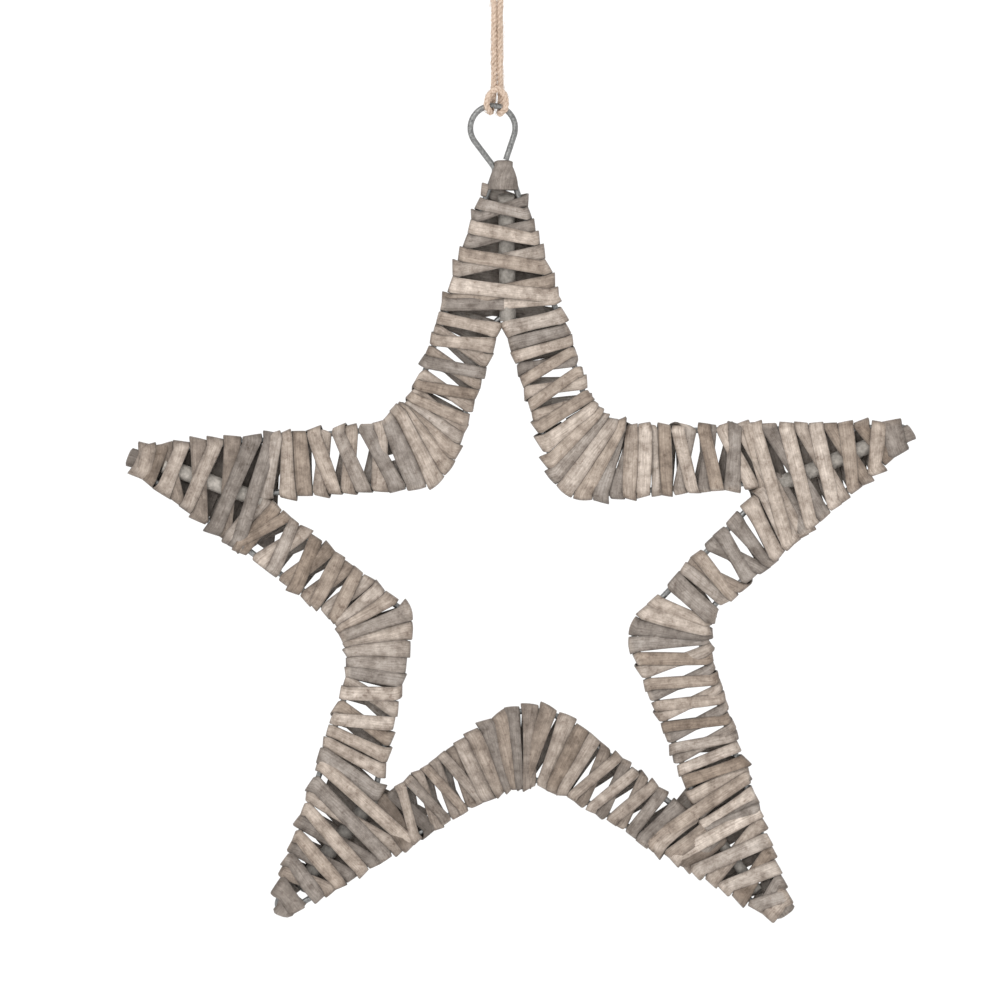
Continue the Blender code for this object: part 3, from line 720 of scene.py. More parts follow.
def strip(name, rows, tones):
    """A strip of willow through the rows, thickened and with eased edges."""
    sizes = bpy.context.scene.star_sizes
    bpy.ops.object.select_all(action='DESELECT')
    bpy.ops.mesh.primitive_grid_add(x_subdivisions=COLUMNS, y_subdivisions=len(rows) - 1,
                                    calc_uvs=True)
    item = bpy.context.object
    item.name = name
    mesh = item.data
    middle = rows[0][COLUMNS // 2]
    outward = Vector((0.0, math.copysign(1.0, middle.y), 0.0))
    first = (rows[0][-1] - rows[0][0]).cross(rows[1][0] - rows[0][0])
    if first.dot(outward) < 0:
        rows = [row[::-1] for row in rows]
    mesh.vertices.foreach_set("co", [value for row in rows for point in row for value in point])
    marks = [0.0]
    for a, b in zip(rows, rows[1:]):
        marks.append(marks[-1] + (b[COLUMNS // 2] - a[COLUMNS // 2]).length)
    start = random.Random(name).uniform(0, 5)
    spots = []
    for row, mark in zip(rows, marks):
        wide = (row[-1] - row[0]).length
        spots += [(start + mark, wide * k / COLUMNS) for k in range(COLUMNS + 1)]
    layer = mesh.uv_layers.active.data
    layer.foreach_set("uv", [value for loop in mesh.loops for value in spots[loop.vertex_index]])
    # Painted shade: edges and folds darker as if turned from the light, and passes under others
    # darker as if in their shadow, on top of each strip's own age
    edges = [abs(q) ** EDGE_SHARPNESS for q in ACROSS]
    wear_and_shade = [1 - (1 - EDGE_SHADE * edge) * (1 - FOLD_SHADE * bend) * (1 - age_and_shade)
            for _, bend, age_and_shade in tones for edge in edges]
    for key, values in (("tone", [value for value, _, _ in tones for _ in edges]),
                        ("wear_and_shade", wear_and_shade)):
        mesh.attributes.new(key, 'FLOAT', 'POINT').data.foreach_set("value", values)
    mesh.update()
    for look in willow_looks():
        mesh.materials.append(look)
    wall = item.modifiers.new("thickness", 'SOLIDIFY')
    wall.thickness = sizes.strip_thickness
    wall.offset = 0.0
    wall.use_even_offset = True
    # The split side and the rims take the inside finish, which is darker as painted shade
    wall.material_offset = 1
    wall.material_offset_rim = 1
    bpy.ops.object.modifier_apply(modifier="thickness")
    eased(item, sizes.strip_thickness * STRIP_EASING, 1)
    return item


def joined(name, items):
    """One piece made of several."""
    bpy.ops.object.select_all(action='DESELECT')
    for item in items:
        item.select_set(True)
    bpy.context.view_layer.objects.active = items[0]
    if len(items) > 1:
        bpy.ops.object.join()
    items[0].name = name
    items[0].data.name = name
    return items[0]


def dressed(item, node):
    """Puts a finished piece in the place of a solid."""
    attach(item, "root")
    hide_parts(node)


def tubes(name, lines, diameter, resolution, look, caps=True, closed=False):
    """Round wires, plies or fibres along the lines of points, made one mesh."""
    bpy.ops.object.select_all(action='DESELECT')
    bpy.ops.curve.primitive_bezier_curve_add()
    item = bpy.context.object
    item.name = name
    curve = item.data
    curve.splines.clear()
    curve.bevel_depth = diameter / 2
    curve.bevel_resolution = resolution
    curve.use_fill_caps = caps
    for points in lines:
        line = curve.splines.new('POLY')
        line.points.add(len(points) - 1)
        for spot, point in zip(line.points, points):
            spot.co = (*point, 1.0)
        line.use_cyclic_u = closed
    bpy.ops.object.convert(target='MESH')
    item.data.materials.append(look)
    return item


def roped(name, points, diameter):
    """Three plies twisted round each other along the points."""
    ring = diameter * PLY_RING
    plies = []
    for number in range(3):
        line = []
        mark = 0.0
        for k, (point, side, up) in enumerate(path_frames(points)):
            mark += (point - points[max(k - 1, 0)]).length
            angle = 2 * math.pi * (number / 3 + mark / PLY_PITCH)
            line.append(point + (side * math.cos(angle) + up * math.sin(angle)) * ring)
        plies.append(tubes(f"{name}_ply_{number}", [line], ring * PLY_DIAMETER, PLY_RESOLUTION,
                           twine_look()))
    return plies


def knot_parts(diameter):
    """The two ends tied together, with their cut and frayed tails."""
    middle = Vector(KNOT_MIDDLE)
    loops = []
    for k in range(KNOT_STEPS):
        angle = 2 * math.pi * k / KNOT_STEPS
        loops.append(middle + KNOT_BEND * Vector((
            math.sin(angle) + 2 * math.sin(2 * angle), -KNOT_DEPTH * math.sin(3 * angle),
            math.cos(angle) - 2 * math.cos(2 * angle))))
    parts = roped("knot", loops + loops[:2], diameter)
    for side in (-1, 1):
        lean = Vector((side * math.sin(TAIL_LEAN), 0.0, math.cos(TAIL_LEAN)))
        start = middle + Vector((side * diameter / 2, 0.0, 0.0))
        bow = Vector((side * TAIL_BOW, 0.0, 0.0))
        line = [start + lean * (TAIL_LENGTH * k / TAIL_STEPS)
                + bow * math.sin(math.pi * k / TAIL_STEPS) for k in range(TAIL_STEPS + 1)]
        parts += roped(f"tail_{side}", line, diameter)
        parts.append(frayed(line[-1], lean, diameter / 2))
    return parts


def fibres_of(lines):
    """Thin fibres along the lines of points."""
    return tubes("fibres", lines, FIBRE_DIAMETER, 0, twine_look(), caps=False)


def frayed(end, way, radius):
    """The loose fibres of a cut end."""
    dice = random.Random(f"frayed {end.x:.4f}")
    side = way.orthogonal().normalized()
    up = way.cross(side)
    lines = []
    for _ in range(FRAYED_FIBRES):
        angle = dice.uniform(0, 2 * math.pi)
        out = side * math.cos(angle) + up * math.sin(angle)
        start = end - way * FRAYED_FROM + out * radius * dice.uniform(0.1, 0.9)
        reach, spread = dice.uniform(*FRAYED_LENGTHS), dice.uniform(0.1, 0.9)
        shares = [k / FIBRE_STEPS for k in range(FIBRE_STEPS + 1)]
        lines.append([start + way * (reach * share) + out * (reach * spread * share ** 2)
                      for share in shares])
    return fibres_of(lines)


def fuzz(points, radius):
    """Loose fibres that stand off a twine."""
    dice = random.Random("fuzz")
    frames = path_frames(points)
    lines = []
    for _ in range(FUZZ_FIBRES):
        start = dice.randrange(len(frames) - FUZZ_SPAN)
        angle, turn = dice.uniform(0, 2 * math.pi), dice.uniform(-FUZZ_TURN, FUZZ_TURN)
        height = dice.uniform(0.2, 1.0) ** 2 * FUZZ_HEIGHT
        line = []
        for k in range(FIBRE_STEPS + 1):
            point, side, up = frames[start + FUZZ_STRIDE * k]
            share = k / FIBRE_STEPS
            way = side * math.cos(angle + turn * share) + up * math.sin(angle + turn * share)
            line.append(point + way * (radius * 0.9 + height * share ** 1.5))
        lines.append(line)
    return fibres_of(lines)


# Finishes

def nodes_of(name):
    finish = bpy.data.materials.new(name)
    finish.use_nodes = True
    tree = finish.node_tree
    return finish, tree, tree.nodes["Principled BSDF"]


def noise(tree, source, scale, detail, roughness=0.6, stretch=(1.0, 1.0, 1.0)):
    """Noise that may be drawn out along a strip or a twine."""
    turn = tree.nodes.new("ShaderNodeMapping")
    turn.inputs["Scale"].default_value = stretch
    tree.links.new(source, turn.inputs["Vector"])
    grain = tree.nodes.new("ShaderNodeTexNoise")
    grain.inputs["Scale"].default_value = scale
    grain.inputs["Detail"].default_value = detail
    grain.inputs["Roughness"].default_value = roughness
    tree.links.new(turn.outputs["Vector"], grain.inputs["Vector"])
    return grain.outputs["Fac"]


def ramp(tree, source, stops):
    node = tree.nodes.new("ShaderNodeValToRGB")
    band = node.color_ramp
    while len(band.elements) < len(stops):
        band.elements.new(0.5)
    for element, (place, colour) in zip(band.elements, stops):
        element.position = place
        element.color = (*colour, 1.0)
    tree.links.new(source, node.inputs["Fac"])
    return node.outputs["Color"]


def multiplied(tree, share, a, b):
    node = tree.nodes.new("ShaderNodeMix")
    node.data_type = 'RGBA'
    node.blend_type = 'MULTIPLY'
    node.inputs[0].default_value = share
    tree.links.new(a, node.inputs[6])
    tree.links.new(b, node.inputs[7])
    return node.outputs[2]


def bumped(tree, shader, height, strength, distance):
    node = tree.nodes.new("ShaderNodeBump")
    node.inputs["Strength"].default_value = strength
    node.inputs["Distance"].default_value = distance
    tree.links.new(height, node.inputs["Height"])
    tree.links.new(node.outputs["Normal"], shader.inputs["Normal"])


# What multiplies the colour of split willow, from dark to pale: at which noise, which tint
STAIN_STOPS = ((0.32, (0.42, 0.37, 0.33)), (0.47, (0.90, 0.88, 0.86)), (0.64, (1.46, 1.48, 1.49)))
FIBRE_STOPS = ((0.28, (0.66, 0.62, 0.59)), (0.50, (1.0, 0.99, 0.98)), (0.72, (1.26, 1.25, 1.24)))
FLECK_STOPS = ((0.58, (1.0, 1.0, 1.0)), (0.70, (0.38, 0.30, 0.25)))
# Last, the darkening by each row's age and by painted shade on edges, folds and passes under
# others
WEAR_AND_SHADE_STOPS = ((0.0, (1.0, 1.0, 1.0)), (0.35, (0.82, 0.805, 0.79)), (0.9, (0.38, 0.36, 0.345)))


def willow(name, pale, tan, grey):
    """Split willow: fibres along the strip, each pass of its own tone, darker with age and with
    painted shade at edges, folds and passes under others.
    """
    found = bpy.data.materials.get(name)
    if found:
        return found
    finish, tree, shader = nodes_of(name)
    uv = tree.nodes.new("ShaderNodeUVMap").outputs["UV"]
    place = tree.nodes.new("ShaderNodeTexCoord").outputs["Object"]
    marks = {}
    for key in ("tone", "wear_and_shade"):
        node = tree.nodes.new("ShaderNodeAttribute")
        node.attribute_name = key
        marks[key] = node.outputs["Fac"]
    colour = ramp(tree, marks["tone"], ((0.0, tan), (0.3, mix(Vector(pale), Vector(tan), 0.4)),
                                        (0.6, pale), (0.85, grey)))
    fibres = noise(tree, uv, 1300.0, 6.0, stretch=(0.07, 1.0, 1.0))
    for share, source, stops in ((0.85, noise(tree, place, 150.0, 9.0, 0.72), STAIN_STOPS),
                                 (1.0, fibres, FIBRE_STOPS),
                                 (0.6, noise(tree, place, 380.0, 6.0), FLECK_STOPS),
                                 (1.0, marks["wear_and_shade"], WEAR_AND_SHADE_STOPS)):
        colour = multiplied(tree, share, colour, ramp(tree, source, stops))
    tree.links.new(colour, shader.inputs["Base Color"])
    shader.inputs["Roughness"].default_value = 0.58
    shader.inputs["Specular IOR Level"].default_value = 0.4
    bumped(tree, shader, fibres, 0.5, 0.0004)
    return finish


def willow_looks():
    """The finishes of a strip's outside and of its split inside, which is darker as painted shade
    for back passes seen between front ones.
    """
    colours = bpy.context.scene.star_colours
    return (willow("split_willow", colours.willow_pale, colours.willow_tan, colours.willow_grey),
            willow("split_willow_inside_painted_shade", colours.inside_pale, colours.inside_dark,
                   colours.inside_dark))


def grained(name, scale, detail, stops, roughness, bump, metallic=0.0, stretch=(1.0, 1.0, 1.0)):
    """A finish of one fine grain, made once; the bump is its strength and its distance."""
    found = bpy.data.materials.get(name)
    if found:
        return found
    finish, tree, shader = nodes_of(name)
    place = tree.nodes.new("ShaderNodeTexCoord").outputs["Object"]
    grain = noise(tree, place, scale, detail, stretch=stretch)
    tree.links.new(ramp(tree, grain, stops), shader.inputs["Base Color"])
    shader.inputs["Metallic"].default_value = metallic
    shader.inputs["Roughness"].default_value = roughness
    bumped(tree, shader, grain, *bump)
    return finish


def wire_look():
    stops = ((0.3, (0.12, 0.12, 0.12)), (0.7, (0.34, 0.34, 0.33)))
    return grained("galvanised_wire", 900.0, 3.0, stops, 0.42, (0.2, 0.0002), metallic=0.85)


def rod_look(i):
    stops = ((0.3, Vector((0.18, 0.163, 0.143)) * ROD_SHADES[i]),
             (0.7, Vector((0.40, 0.365, 0.325)) * ROD_SHADES[i]))
    return grained(f"willow_rod_{TIPS[i]}", 420.0, 4.0, stops, 0.75, (0.4, 0.0004))


def twine_look():
    stops = ((0.3, (0.42, 0.30, 0.215)), (0.6, (0.71, 0.565, 0.455)))
    return grained("jute_twine", 1500.0, 4.0, stops, 0.9, (0.6, 0.0004), stretch=(1.0, 1.0, 0.35))


# Arms

def across(inner, outer, s):
    """Where the outer wire lies across from the inner one, evened out both ways."""
    spots = [outer.nearest(inner.place(s + EVEN_STEP * k)[0])
             for k in range(-EVEN_REACH, EVEN_REACH + 1)]
    return sum(spots) / len(spots)


def arm_folds(i):
    """The folds of the winding from tip i to the next, two for each front pass."""
    sizes = bpy.context.scene.star_sizes
    inner = side_rail(INNER_TIPS, INNER_NOTCHES, i, -1)
    outer = side_rail(OUTER_TIPS, OUTER_NOTCHES, i, 1)
    passes = [(a, across(inner, outer, b), *rest) for a, b, *rest in ARM_PASSES[i]]
    stands = (sizes.over_stand, sizes.under_stand)
    folds = []
    behind = sizes.strip_width
    back_stand = sizes.over_stand
    for k, (a, b, width, low, come, leave) in enumerate(passes):
        last_b = passes[k - 1][1] if k else b - END_PITCH
        next_a = passes[k + 1][0] if k + 1 < len(passes) else a + END_PITCH
        front = outer.place(b)[0] - inner.place(a)[0]
        back = inner.place(a)[0] - outer.place(last_b)[0]
        away = inner.place(next_a)[0] - outer.place(b)[0]
        roll = math.pi * sizes.under_stand / 2
        arrive = roll * (back.normalized() + front.normalized()).dot(inner.place(a)[1])
        depart = roll * (front.normalized() + away.normalized()).dot(outer.place(b)[1])
        spacing = b - last_b
        tilt = 0.0
        if 0 < spacing < CROWDED * width:
            tilt = CROWDED_LIFT * sizes.strip_thickness / max(spacing, CROWDED_SPACING)
        folds.append(Fold(inner, a - arrive + come, a, (behind, width), (back_stand, stands[low])))
        back_stand = stands[low]
        # A low pass gets painted shade, darker as if in the shadow of the passes over it
        folds.append(Fold(outer, b, b + depart + leave, (width, behind),
                          (stands[low], back_stand), tilt, ARM_AGES[i] + LOW_SHADE * low))
    for k, (here, there) in enumerate(zip(passes, passes[1:])):
        leaving, coming = folds[2 * k + 1], folds[2 * k + 2]
        if here[3] and not there[3] and there[1] - here[1] < HIDDEN_REACH:
            spots = there[1], there[0]
        elif there[3] and not here[3] and (here[0] - there[0]) * (here[1] - there[1]) < 0:
            spots = (here[1] + there[1]) / 2, (here[0] + there[0]) / 2
        else:
            continue
        leaving.s_out = mix(leaving.s_out, spots[0], HIDDEN_SHARES[i])
        coming.s_in = mix(coming.s_in, spots[1], HIDDEN_SHARES[i])
    share_out(folds[::2], [fold.s_out for fold in folds[::2]])
    share_out(folds[1::2], [fold.s_in for fold in folds[1::2]])
    return folds


def arm_pieces(i):
    """The three pieces from tip i to the next: arm, corner and arm."""
    sizes = bpy.context.scene.star_sizes
    folds = arm_folds(i)
    notch = folds[0].rail.nearest(placed(INNER_NOTCHES[i])[0])
    corner = [k for k in range(len(folds) // 2) if abs(folds[2 * k].s_out - notch) < CORNER_REACH]
    bounds = (0, corner[0], corner[-1] + 1, len(folds) // 2)
    here, there = TIPS[i], TIPS[(i + 1) % len(TIPS)]
    names = (f"arm_winding_{here}_toward_{there}", f"corner_winding_{here}_{there}",
             f"arm_winding_{there}_toward_{here}")
    inner, outer = folds[0].rail, folds[1].rail
    start = max(END_ROOM, folds[1].s_in - END_REACH)
    end = min(inner.length - END_ROOM, folds[-2].s_out + END_REACH)
    widths = (sizes.strip_width, sizes.strip_width)
    stands = (sizes.under_stand, sizes.under_stand)
    chain = [Fold(outer, start, start, widths, stands), *folds,
             Fold(inner, end, end, widths, stands)]
    for name, first, last in zip(names, bounds, bounds[1:]):
        rows, tones = Winder(name).wind(chain[2 * first:2 * last + 2])
        dressed(strip(name + "_look", rows, tones), name)


# Tips

def tip_pieces(i):
    """The under and the over winding of a tip."""
    sizes = bpy.context.scene.star_sizes
    tip = Tip(i)
    under_passes = [(b, a, *rest) for a, b, *rest in TIP_UNDER[i]]
    # The under winding gets painted shade, darker as if in the shadow of the over winding
    lower = wound_round(tip, tip.right, tip.left, under_passes, sizes.under_stand,
                        TIP_AGES[i] + LOW_SHADE, UNDER_STARTS[i])
    upper = wound_round(tip, tip.left, tip.right, TIP_OVER[i], sizes.over_stand, TIP_AGES[i])
    for leg in (tip.left, tip.right):
        folds = [fold for fold in lower[1:-1] + upper[1:-1] if fold.rail is leg]
        share_out(folds, [fold.s_in for fold in folds])
    for under_fold, over_fold in zip(lower[1::2], upper[2::2]):
        under_fold.s_in += BACK_SLIPS[i]
        over_fold.s_out -= BACK_SLIPS[i]
    for label, folds, room, whole in (
            ("under", lower, UNDER_ROD_ROOM, UNDER_STARTS[i] is not None),
            ("over", upper, OVER_ROD_ROOM, False)):
        name = f"tip_{label}_winding_{TIPS[i]}"
        winder = Winder(name, stick_line(i), room)
        rows, tones = winder.wind(folds, tucked=True, whole=whole)
        dressed(strip(name + "_look", rows, tones), name)


def wound_round(tip, rail_a, rail_b, passes, stand, age_and_shade, start=None):
    """The folds of a strip that goes round a tip's two legs, a front pass at a time."""
    width = bpy.context.scene.star_sizes.tip_strip_width
    rows = [(a, b, *(rest or (width / MM,))) for a, b, *rest in passes]
    behind = BACK_SHARES[tip.number]
    lead, full = start or (max(LEAST_LEAD, rows[0][1] - LEAD), rows[0][2] * behind)
    touches = [(rail_b, lead, full, full)]
    for k, (a, b, wide) in enumerate(rows):
        coming = wide * behind if k else full
        touches += [(rail_a, a, coming, wide), (rail_b, b, wide, wide * behind)]
    last = rows[-1][2]
    touches.append((rail_a, rows[-1][0] + TAIL, last * TAIL_WIDTH, last * TAIL_WIDTH))
    folds = []
    for rail, depth, arriving, leaving in touches:
        s = tip.down_leg(depth * MM)
        folds.append(Fold(rail, s, s, (arriving * MM, leaving * MM), (stand, stand), 0.0, age_and_shade))
    if start:
        folds[0].age_and_shade += START_AGE
    return folds


# The strip folded over each tip's end: its width, its length at the front and its shift to the
# right, how far its corners lie back, its skew in depth per width, how much it narrows to the
# tip's end, how deep it is creased between the wires and how far its two ends stand off
CAP_WIDTHS = (0.0150, 0.0104, 0.0132, 0.0138, 0.0090)
CAP_FRONT = (0.0128, 0.0100, 0.0110, 0.0100, 0.0110)
CAP_SHIFTS = (0.0004, 0.0, -0.0018, -0.0018, 0.0006)
CAP_CORNERS = (0.0008, 0.0008, 0.0022, 0.0012, 0.0006)
CAP_SKEWS = (0.0, 0.10, -0.35, 0.05, -0.20)
CAP_TAPERS = (0.38, 0.08, 0.28, 0.22, 0.08)
CAP_CREASES = (0.0010, 0.0002, 0.0004, 0.0003, 0.0002)
CAP_RISES = (0.0018, 0.0, 0.0, 0.0, 0.0)
# Its least tone, how much of it counts as a fold for painted fold shade, and how much darker than
# the tip it is
CAP_SHADE = 0.8
CAP_BEND = 0.15
CAP_AGE = 0.2
# Turns round each tip below its end, in millimetres: depths on the left and the right leg, width
CAP_TURNS = (
    (),
    ((5.5, 6.5, 8.0), (11.0, 12.5, 8.0)),
    ((6.0, 9.5, 9.5),),
    ((6.0, 3.5, 8.5),),
    ((7.0, 8.5, 10.5),),
)


def tip_cap(i):
    """A strip folded over the tip's end, and on most tips a strip wound round below it."""
    sizes = bpy.context.scene.star_sizes
    tip = Tip(i)
    name = f"tip_cap_{TIPS[i]}"
    age_and_shade = TIP_AGES[i] + CAP_AGE
    stand = sizes.under_stand

    def row_at(share, y):
        """A row across the fold: its share of the depth, below 0 round the end itself."""
        half = CAP_WIDTHS[i] / 2 * (1 - CAP_TAPERS[i] * (1 - max(share, 0.0)) ** 2)
        row = []
        for q in ACROSS:
            drop = CAP_CORNERS[i] * q ** 4 + CAP_SKEWS[i] * half * q
            depth = CAP_FRONT[i] * share + drop * (1 - max(share, 0.0))
            if share < 0:
                depth = drop + share * stand
            crease = CAP_CREASES[i] * min(max(3 * share - 0.6, 0.0), 1.0)
            crown = sizes.strip_crown * (1 - q * q) - crease * math.cos(1.5 * math.pi * q)
            out = crown + CAP_RISES[i] * max(share, 0.0) ** 2
            row.append(lifted(tip.spot(depth, CAP_SHIFTS[i] + half * q),
                              y + out * math.copysign(1, y)))
        return row

    rows = [row_at(1 - k / CAP_STEPS, -stand) for k in range(CAP_STEPS + 1)]
    for j in range(1, CAP_STEPS):
        angle = math.pi * j / CAP_STEPS
        rows.append(row_at(-math.sin(angle), -stand * math.cos(angle)))
    rows += [row_at(k / CAP_STEPS, stand) for k in range(CAP_STEPS + 1)]
    shade = CAP_SHADE + (1 - CAP_SHADE) * random.Random(name).random()
    parts = [strip(name + "_fold", rows, [(shade, CAP_BEND, age_and_shade)] * len(rows))]
    if CAP_TURNS[i]:
        stand = (sizes.under_stand + sizes.over_stand) / 2
        folds = wound_round(tip, tip.left, tip.right, CAP_TURNS[i], stand, age_and_shade)
        rows, tones = Winder(name, stick_line(i), TURN_ROD_ROOM).wind(folds)
        parts.append(strip(name + "_turns", rows, tones))
    dressed(joined(name + "_look", parts), name)


def core_rod(i):
    """A peeled rod with a slanted cut head."""
    head, foot, diameter = stick_line(i)
    name = f"core_stick_{TIPS[i]}"
    start, end = lifted(foot, 0.0), lifted(head, 0.0)
    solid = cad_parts[name]
    way = (end - start).normalized()
    reach = [(solid.matrix_world @ spot.co - end).dot(way) for spot in solid.data.vertices]
    start = end + way * min(reach)
    bpy.ops.object.select_all(action='DESELECT')
    bpy.ops.mesh.primitive_cylinder_add(
        vertices=32, radius=diameter / 2, depth=(end - start).length,
        location=(start + end) / 2, rotation=way.to_track_quat('Z', 'Y').to_euler())
    item = bpy.context.object
    item.name = name + "_look"
    bpy.ops.object.transform_apply(location=True, rotation=True, scale=True)
    for spot in item.data.vertices:
        if (spot.co - end).dot(way) > -CLEARANCE:
            spot.co += way * (ROD_CUTS[i] * spot.co.y / diameter)
    eased(item, ROD_EASING, 2)
    item.data.materials.append(rod_look(i))
    dressed(item, name)


# Settings that a user would change

class StarSizes(bpy.types.PropertyGroup):
    wire_diameter: bpy.props.FloatProperty(
        name="Wire diameter", description="Thickness of both bent wires",
        default=0.0030, min=0.001, unit='LENGTH', subtype='DISTANCE')
    strip_width: bpy.props.FloatProperty(
        name="Strip width", description="Usual width of a strip behind the arms",
        default=0.0060, min=0.002, unit='LENGTH', subtype='DISTANCE')
    tip_strip_width: bpy.props.FloatProperty(
        name="Tip strip width", description="Usual width of a strip on the tips",
        default=0.0074, min=0.002, unit='LENGTH', subtype='DISTANCE')
    strip_thickness: bpy.props.FloatProperty(
        name="Strip thickness", description="Thickness of a split willow strip",
        default=0.0009, min=0.0003, unit='LENGTH', subtype='DISTANCE')
    strip_crown: bpy.props.FloatProperty(
        name="Strip crown", description="How far the middle of a strip stands above its edges",
        default=0.0004, min=0.0, unit='LENGTH', subtype='DISTANCE')
    under_stand: bpy.props.FloatProperty(
        name="Under winding", description="From a wire's centre line to the under winding's",
        default=0.0021, min=0.0015, unit='LENGTH', subtype='DISTANCE')
    over_stand: bpy.props.FloatProperty(
        name="Over winding", description="From a wire's centre line to the over winding's",
        default=0.0032, min=0.0015, unit='LENGTH', subtype='DISTANCE')
    twine_diameter: bpy.props.FloatProperty(
        name="Twine diameter", description="Thickness of the jute twine",
        default=0.0030, min=0.001, unit='LENGTH', subtype='DISTANCE')


class StarColours(bpy.types.PropertyGroup):
    willow_pale: bpy.props.FloatVectorProperty(
        name="Willow, pale", description="Lightest strips", subtype='COLOR',
        default=(0.535, 0.466, 0.409), min=0.0, max=1.0)
    willow_tan: bpy.props.FloatVectorProperty(
        name="Willow, tan", description="Brownest strips", subtype='COLOR',
        default=(0.28, 0.221, 0.173), min=0.0, max=1.0)
    willow_grey: bpy.props.FloatVectorProperty(
        name="Willow, grey", description="Most weathered strips", subtype='COLOR',
        default=(0.295, 0.262, 0.236), min=0.0, max=1.0)
    # The inside colours are painted shade: darker so back passes between front ones look shadowed
    inside_pale: bpy.props.FloatVectorProperty(
        name="Inside, pale", description="The split side of a strip", subtype='COLOR',
        default=(0.36, 0.325, 0.295), min=0.0, max=1.0)
    inside_dark: bpy.props.FloatVectorProperty(
        name="Inside, dark", description="The split side's darkest strips", subtype='COLOR',
        default=(0.265, 0.236, 0.212), min=0.0, max=1.0)


class STAR_OT_studio(bpy.types.Operator):
    """Sets up the pale sweep, the soft light and the camera"""
    bl_idname = "star.studio"
    bl_label = "Studio"

    def execute(self, context):
        bpy.ops.object.select_all(action='DESELECT')
        bpy.ops.mesh.primitive_plane_add(size=1.0, location=(0.0, 0.0, FLOOR_LEVEL))
        sweep = context.object
        sweep.name = "studio_sweep"
        for spot in sweep.data.vertices:
            spot.co.x *= SWEEP_WIDTH
            spot.co.y = math.copysign(WALL_DEPTH, spot.co.y)
        bpy.ops.object.mode_set(mode='EDIT')
        bpy.ops.mesh.select_all(action='DESELECT')
        bpy.ops.mesh.select_mode(type='EDGE')
        bpy.ops.object.mode_set(mode='OBJECT')
        for edge in sweep.data.edges:
            ends = [sweep.data.vertices[k].co.y for k in edge.vertices]
            edge.select = min(ends) > 0
        bpy.ops.object.mode_set(mode='EDIT')
        rise = {"value": (0.0, 0.0, WALL_HEIGHT)}
        bpy.ops.mesh.extrude_region_move(TRANSFORM_OT_translate=rise)
        bpy.ops.mesh.select_all(action='SELECT')
        bpy.ops.mesh.normals_make_consistent(inside=False)
        bpy.ops.object.mode_set(mode='OBJECT')
        bend = sweep.modifiers.new("sweep", 'BEVEL')
        bend.width = SWEEP_BEND
        bend.segments = 12
        bend.limit_method = 'ANGLE'
        bpy.ops.object.modifier_apply(modifier="sweep")
        bpy.ops.object.shade_smooth()
        pale, _, shader = nodes_of("studio_white")
        shader.inputs["Base Color"].default_value = (0.9, 0.9, 0.9, 1.0)
        shader.inputs["Roughness"].default_value = 0.9
        shader.inputs["Emission Color"].default_value = (1.0, 1.0, 1.0, 1.0)
        shader.inputs["Emission Strength"].default_value = SWEEP_GLOW
        sweep.data.materials.append(pale)

        world = bpy.data.worlds.new("soft_white")
        world.use_nodes = True
        sky = world.node_tree.nodes["Background"]
        sky.inputs["Color"].default_value = (1.0, 1.0, 1.0, 1.0)
        sky.inputs["Strength"].default_value = 1.0
        context.scene.world = world
        for name, place, width, power in LIGHTS:
            bpy.ops.object.light_add(type='AREA', location=place)
            lamp = context.object
            lamp.name = name
            lamp.data.size = width
            lamp.data.energy = power
            aim = Vector((0.0, 0.0, VIEW_MIDDLE[1])) - lamp.location
            lamp.rotation_euler = aim.to_track_quat('-Z', 'Y').to_euler()

        bpy.ops.object.camera_add(location=(VIEW_MIDDLE[0], -CAMERA_DISTANCE, VIEW_MIDDLE[1]),
                                  rotation=(math.pi / 2, 0.0, 0.0))
        camera = context.object
        camera.name = "photo_camera"
        camera.data.sensor_width = SENSOR_WIDTH
        camera.data.lens = SENSOR_WIDTH * CAMERA_DISTANCE / VIEW_WIDTH
        camera.data.clip_end = CLIP_END
        context.scene.camera = camera
        context.scene.view_settings.view_transform = 'Standard'
        return {'FINISHED'}


class STAR_OT_wires(bpy.types.Operator):
    """Makes the outer wire with its eye, and the inner wire"""
    bl_idname = "star.wires"
    bl_label = "Wires"

    def execute(self, context):
        sizes = context.scene.star_sizes
        for name, path, closed in (("outer_wire", outer_path(), False),
                                   ("inner_wire", inner_path(), True)):
            points = [lifted(point, 0.0) for point in path]
            item = tubes(name + "_look", [points], sizes.wire_diameter, WIRE_RESOLUTION,
                         wire_look(), closed=closed)
            dressed(item, name)
        return {'FINISHED'}


class STAR_OT_rods(bpy.types.Operator):
    """Makes the willow rod in each tip"""
    bl_idname = "star.rods"
    bl_label = "Core Rods"

    def execute(self, context):
        for i in range(len(TIPS)):
            core_rod(i)
        return {'FINISHED'}


class STAR_OT_tips(bpy.types.Operator):
    """Winds the two crossing layers of each tip and folds its cap"""
    bl_idname = "star.tips"
    bl_label = "Tip Windings and Caps"

    def execute(self, context):
        for i in range(len(TIPS)):
            tip_pieces(i)
            tip_cap(i)
        return {'FINISHED'}


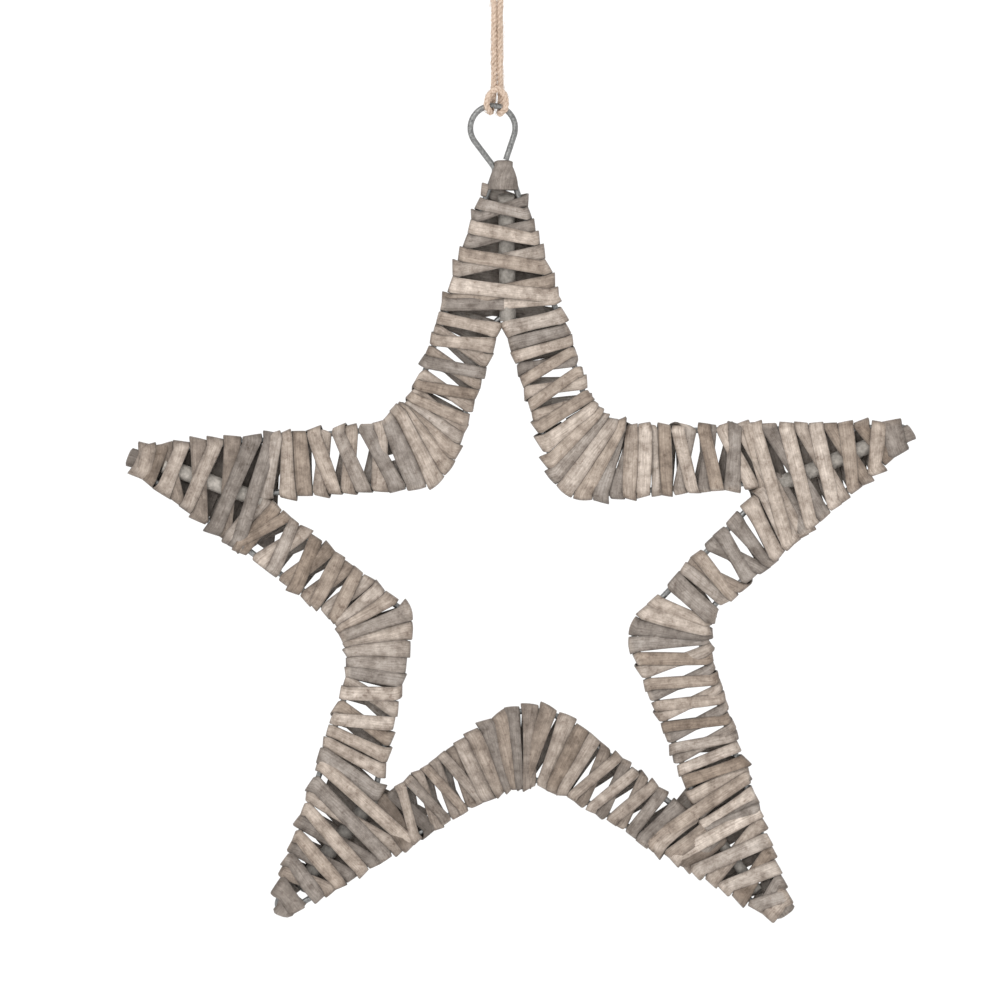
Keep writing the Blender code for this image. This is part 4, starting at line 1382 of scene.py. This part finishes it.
class STAR_OT_arms(bpy.types.Operator):
    """Winds the arms and the corners between the two wires"""
    bl_idname = "star.arms"
    bl_label = "Arm and Corner Windings"

    def execute(self, context):
        for i in range(len(TIPS)):
            arm_pieces(i)
        return {'FINISHED'}


class STAR_OT_twine(bpy.types.Operator):
    """Lays the jute twine, hitched to the eye and doubled upwards, and ties its knot"""
    bl_idname = "star.twine"
    bl_label = "Twine and Knot"

    def execute(self, context):
        sizes = context.scene.star_sizes
        knot = joined("twine_knot_look", knot_parts(sizes.twine_diameter))
        dressed(knot, "twine_knot")
        points = smooth_line(twine_route(), TWINE_STEP)
        plies = roped("twine", points, sizes.twine_diameter)
        item = joined("twine_look", [*plies, fuzz(points, sizes.twine_diameter / 2)])
        dressed(item, "twine")
        return {'FINISHED'}


class STAR_PT_sidebar(bpy.types.Panel):
    """Lists the steps that make the star"""
    bl_label = "Wicker Star"
    bl_idname = "STAR_PT_sidebar"
    bl_space_type = 'VIEW_3D'
    bl_region_type = 'UI'
    bl_category = "Wicker Star"

    def draw(self, context):
        for group in (context.scene.star_sizes, context.scene.star_colours):
            for key in group.bl_rna.properties.keys():
                if key not in ("rna_type", "name"):
                    self.layout.prop(group, key)
        for step in STEPS:
            self.layout.operator(step.bl_idname)


STEPS = (STAR_OT_studio, STAR_OT_twine, STAR_OT_wires, STAR_OT_rods, STAR_OT_tips, STAR_OT_arms)
CLASSES = (StarSizes, StarColours, *STEPS, STAR_PT_sidebar)


def register():
    for item in CLASSES:
        bpy.utils.register_class(item)
    bpy.types.Scene.star_sizes = bpy.props.PointerProperty(type=StarSizes)
    bpy.types.Scene.star_colours = bpy.props.PointerProperty(type=StarColours)


def unregister():
    del bpy.types.Scene.star_colours
    del bpy.types.Scene.star_sizes
    for item in reversed(CLASSES):
        bpy.utils.unregister_class(item)


def main():
    register()
    bpy.ops.star.studio()
    bpy.ops.star.twine()
    bpy.ops.star.wires()
    bpy.ops.star.rods()
    bpy.ops.star.tips()
    bpy.ops.star.arms()


if __name__ == "__main__":
    main()
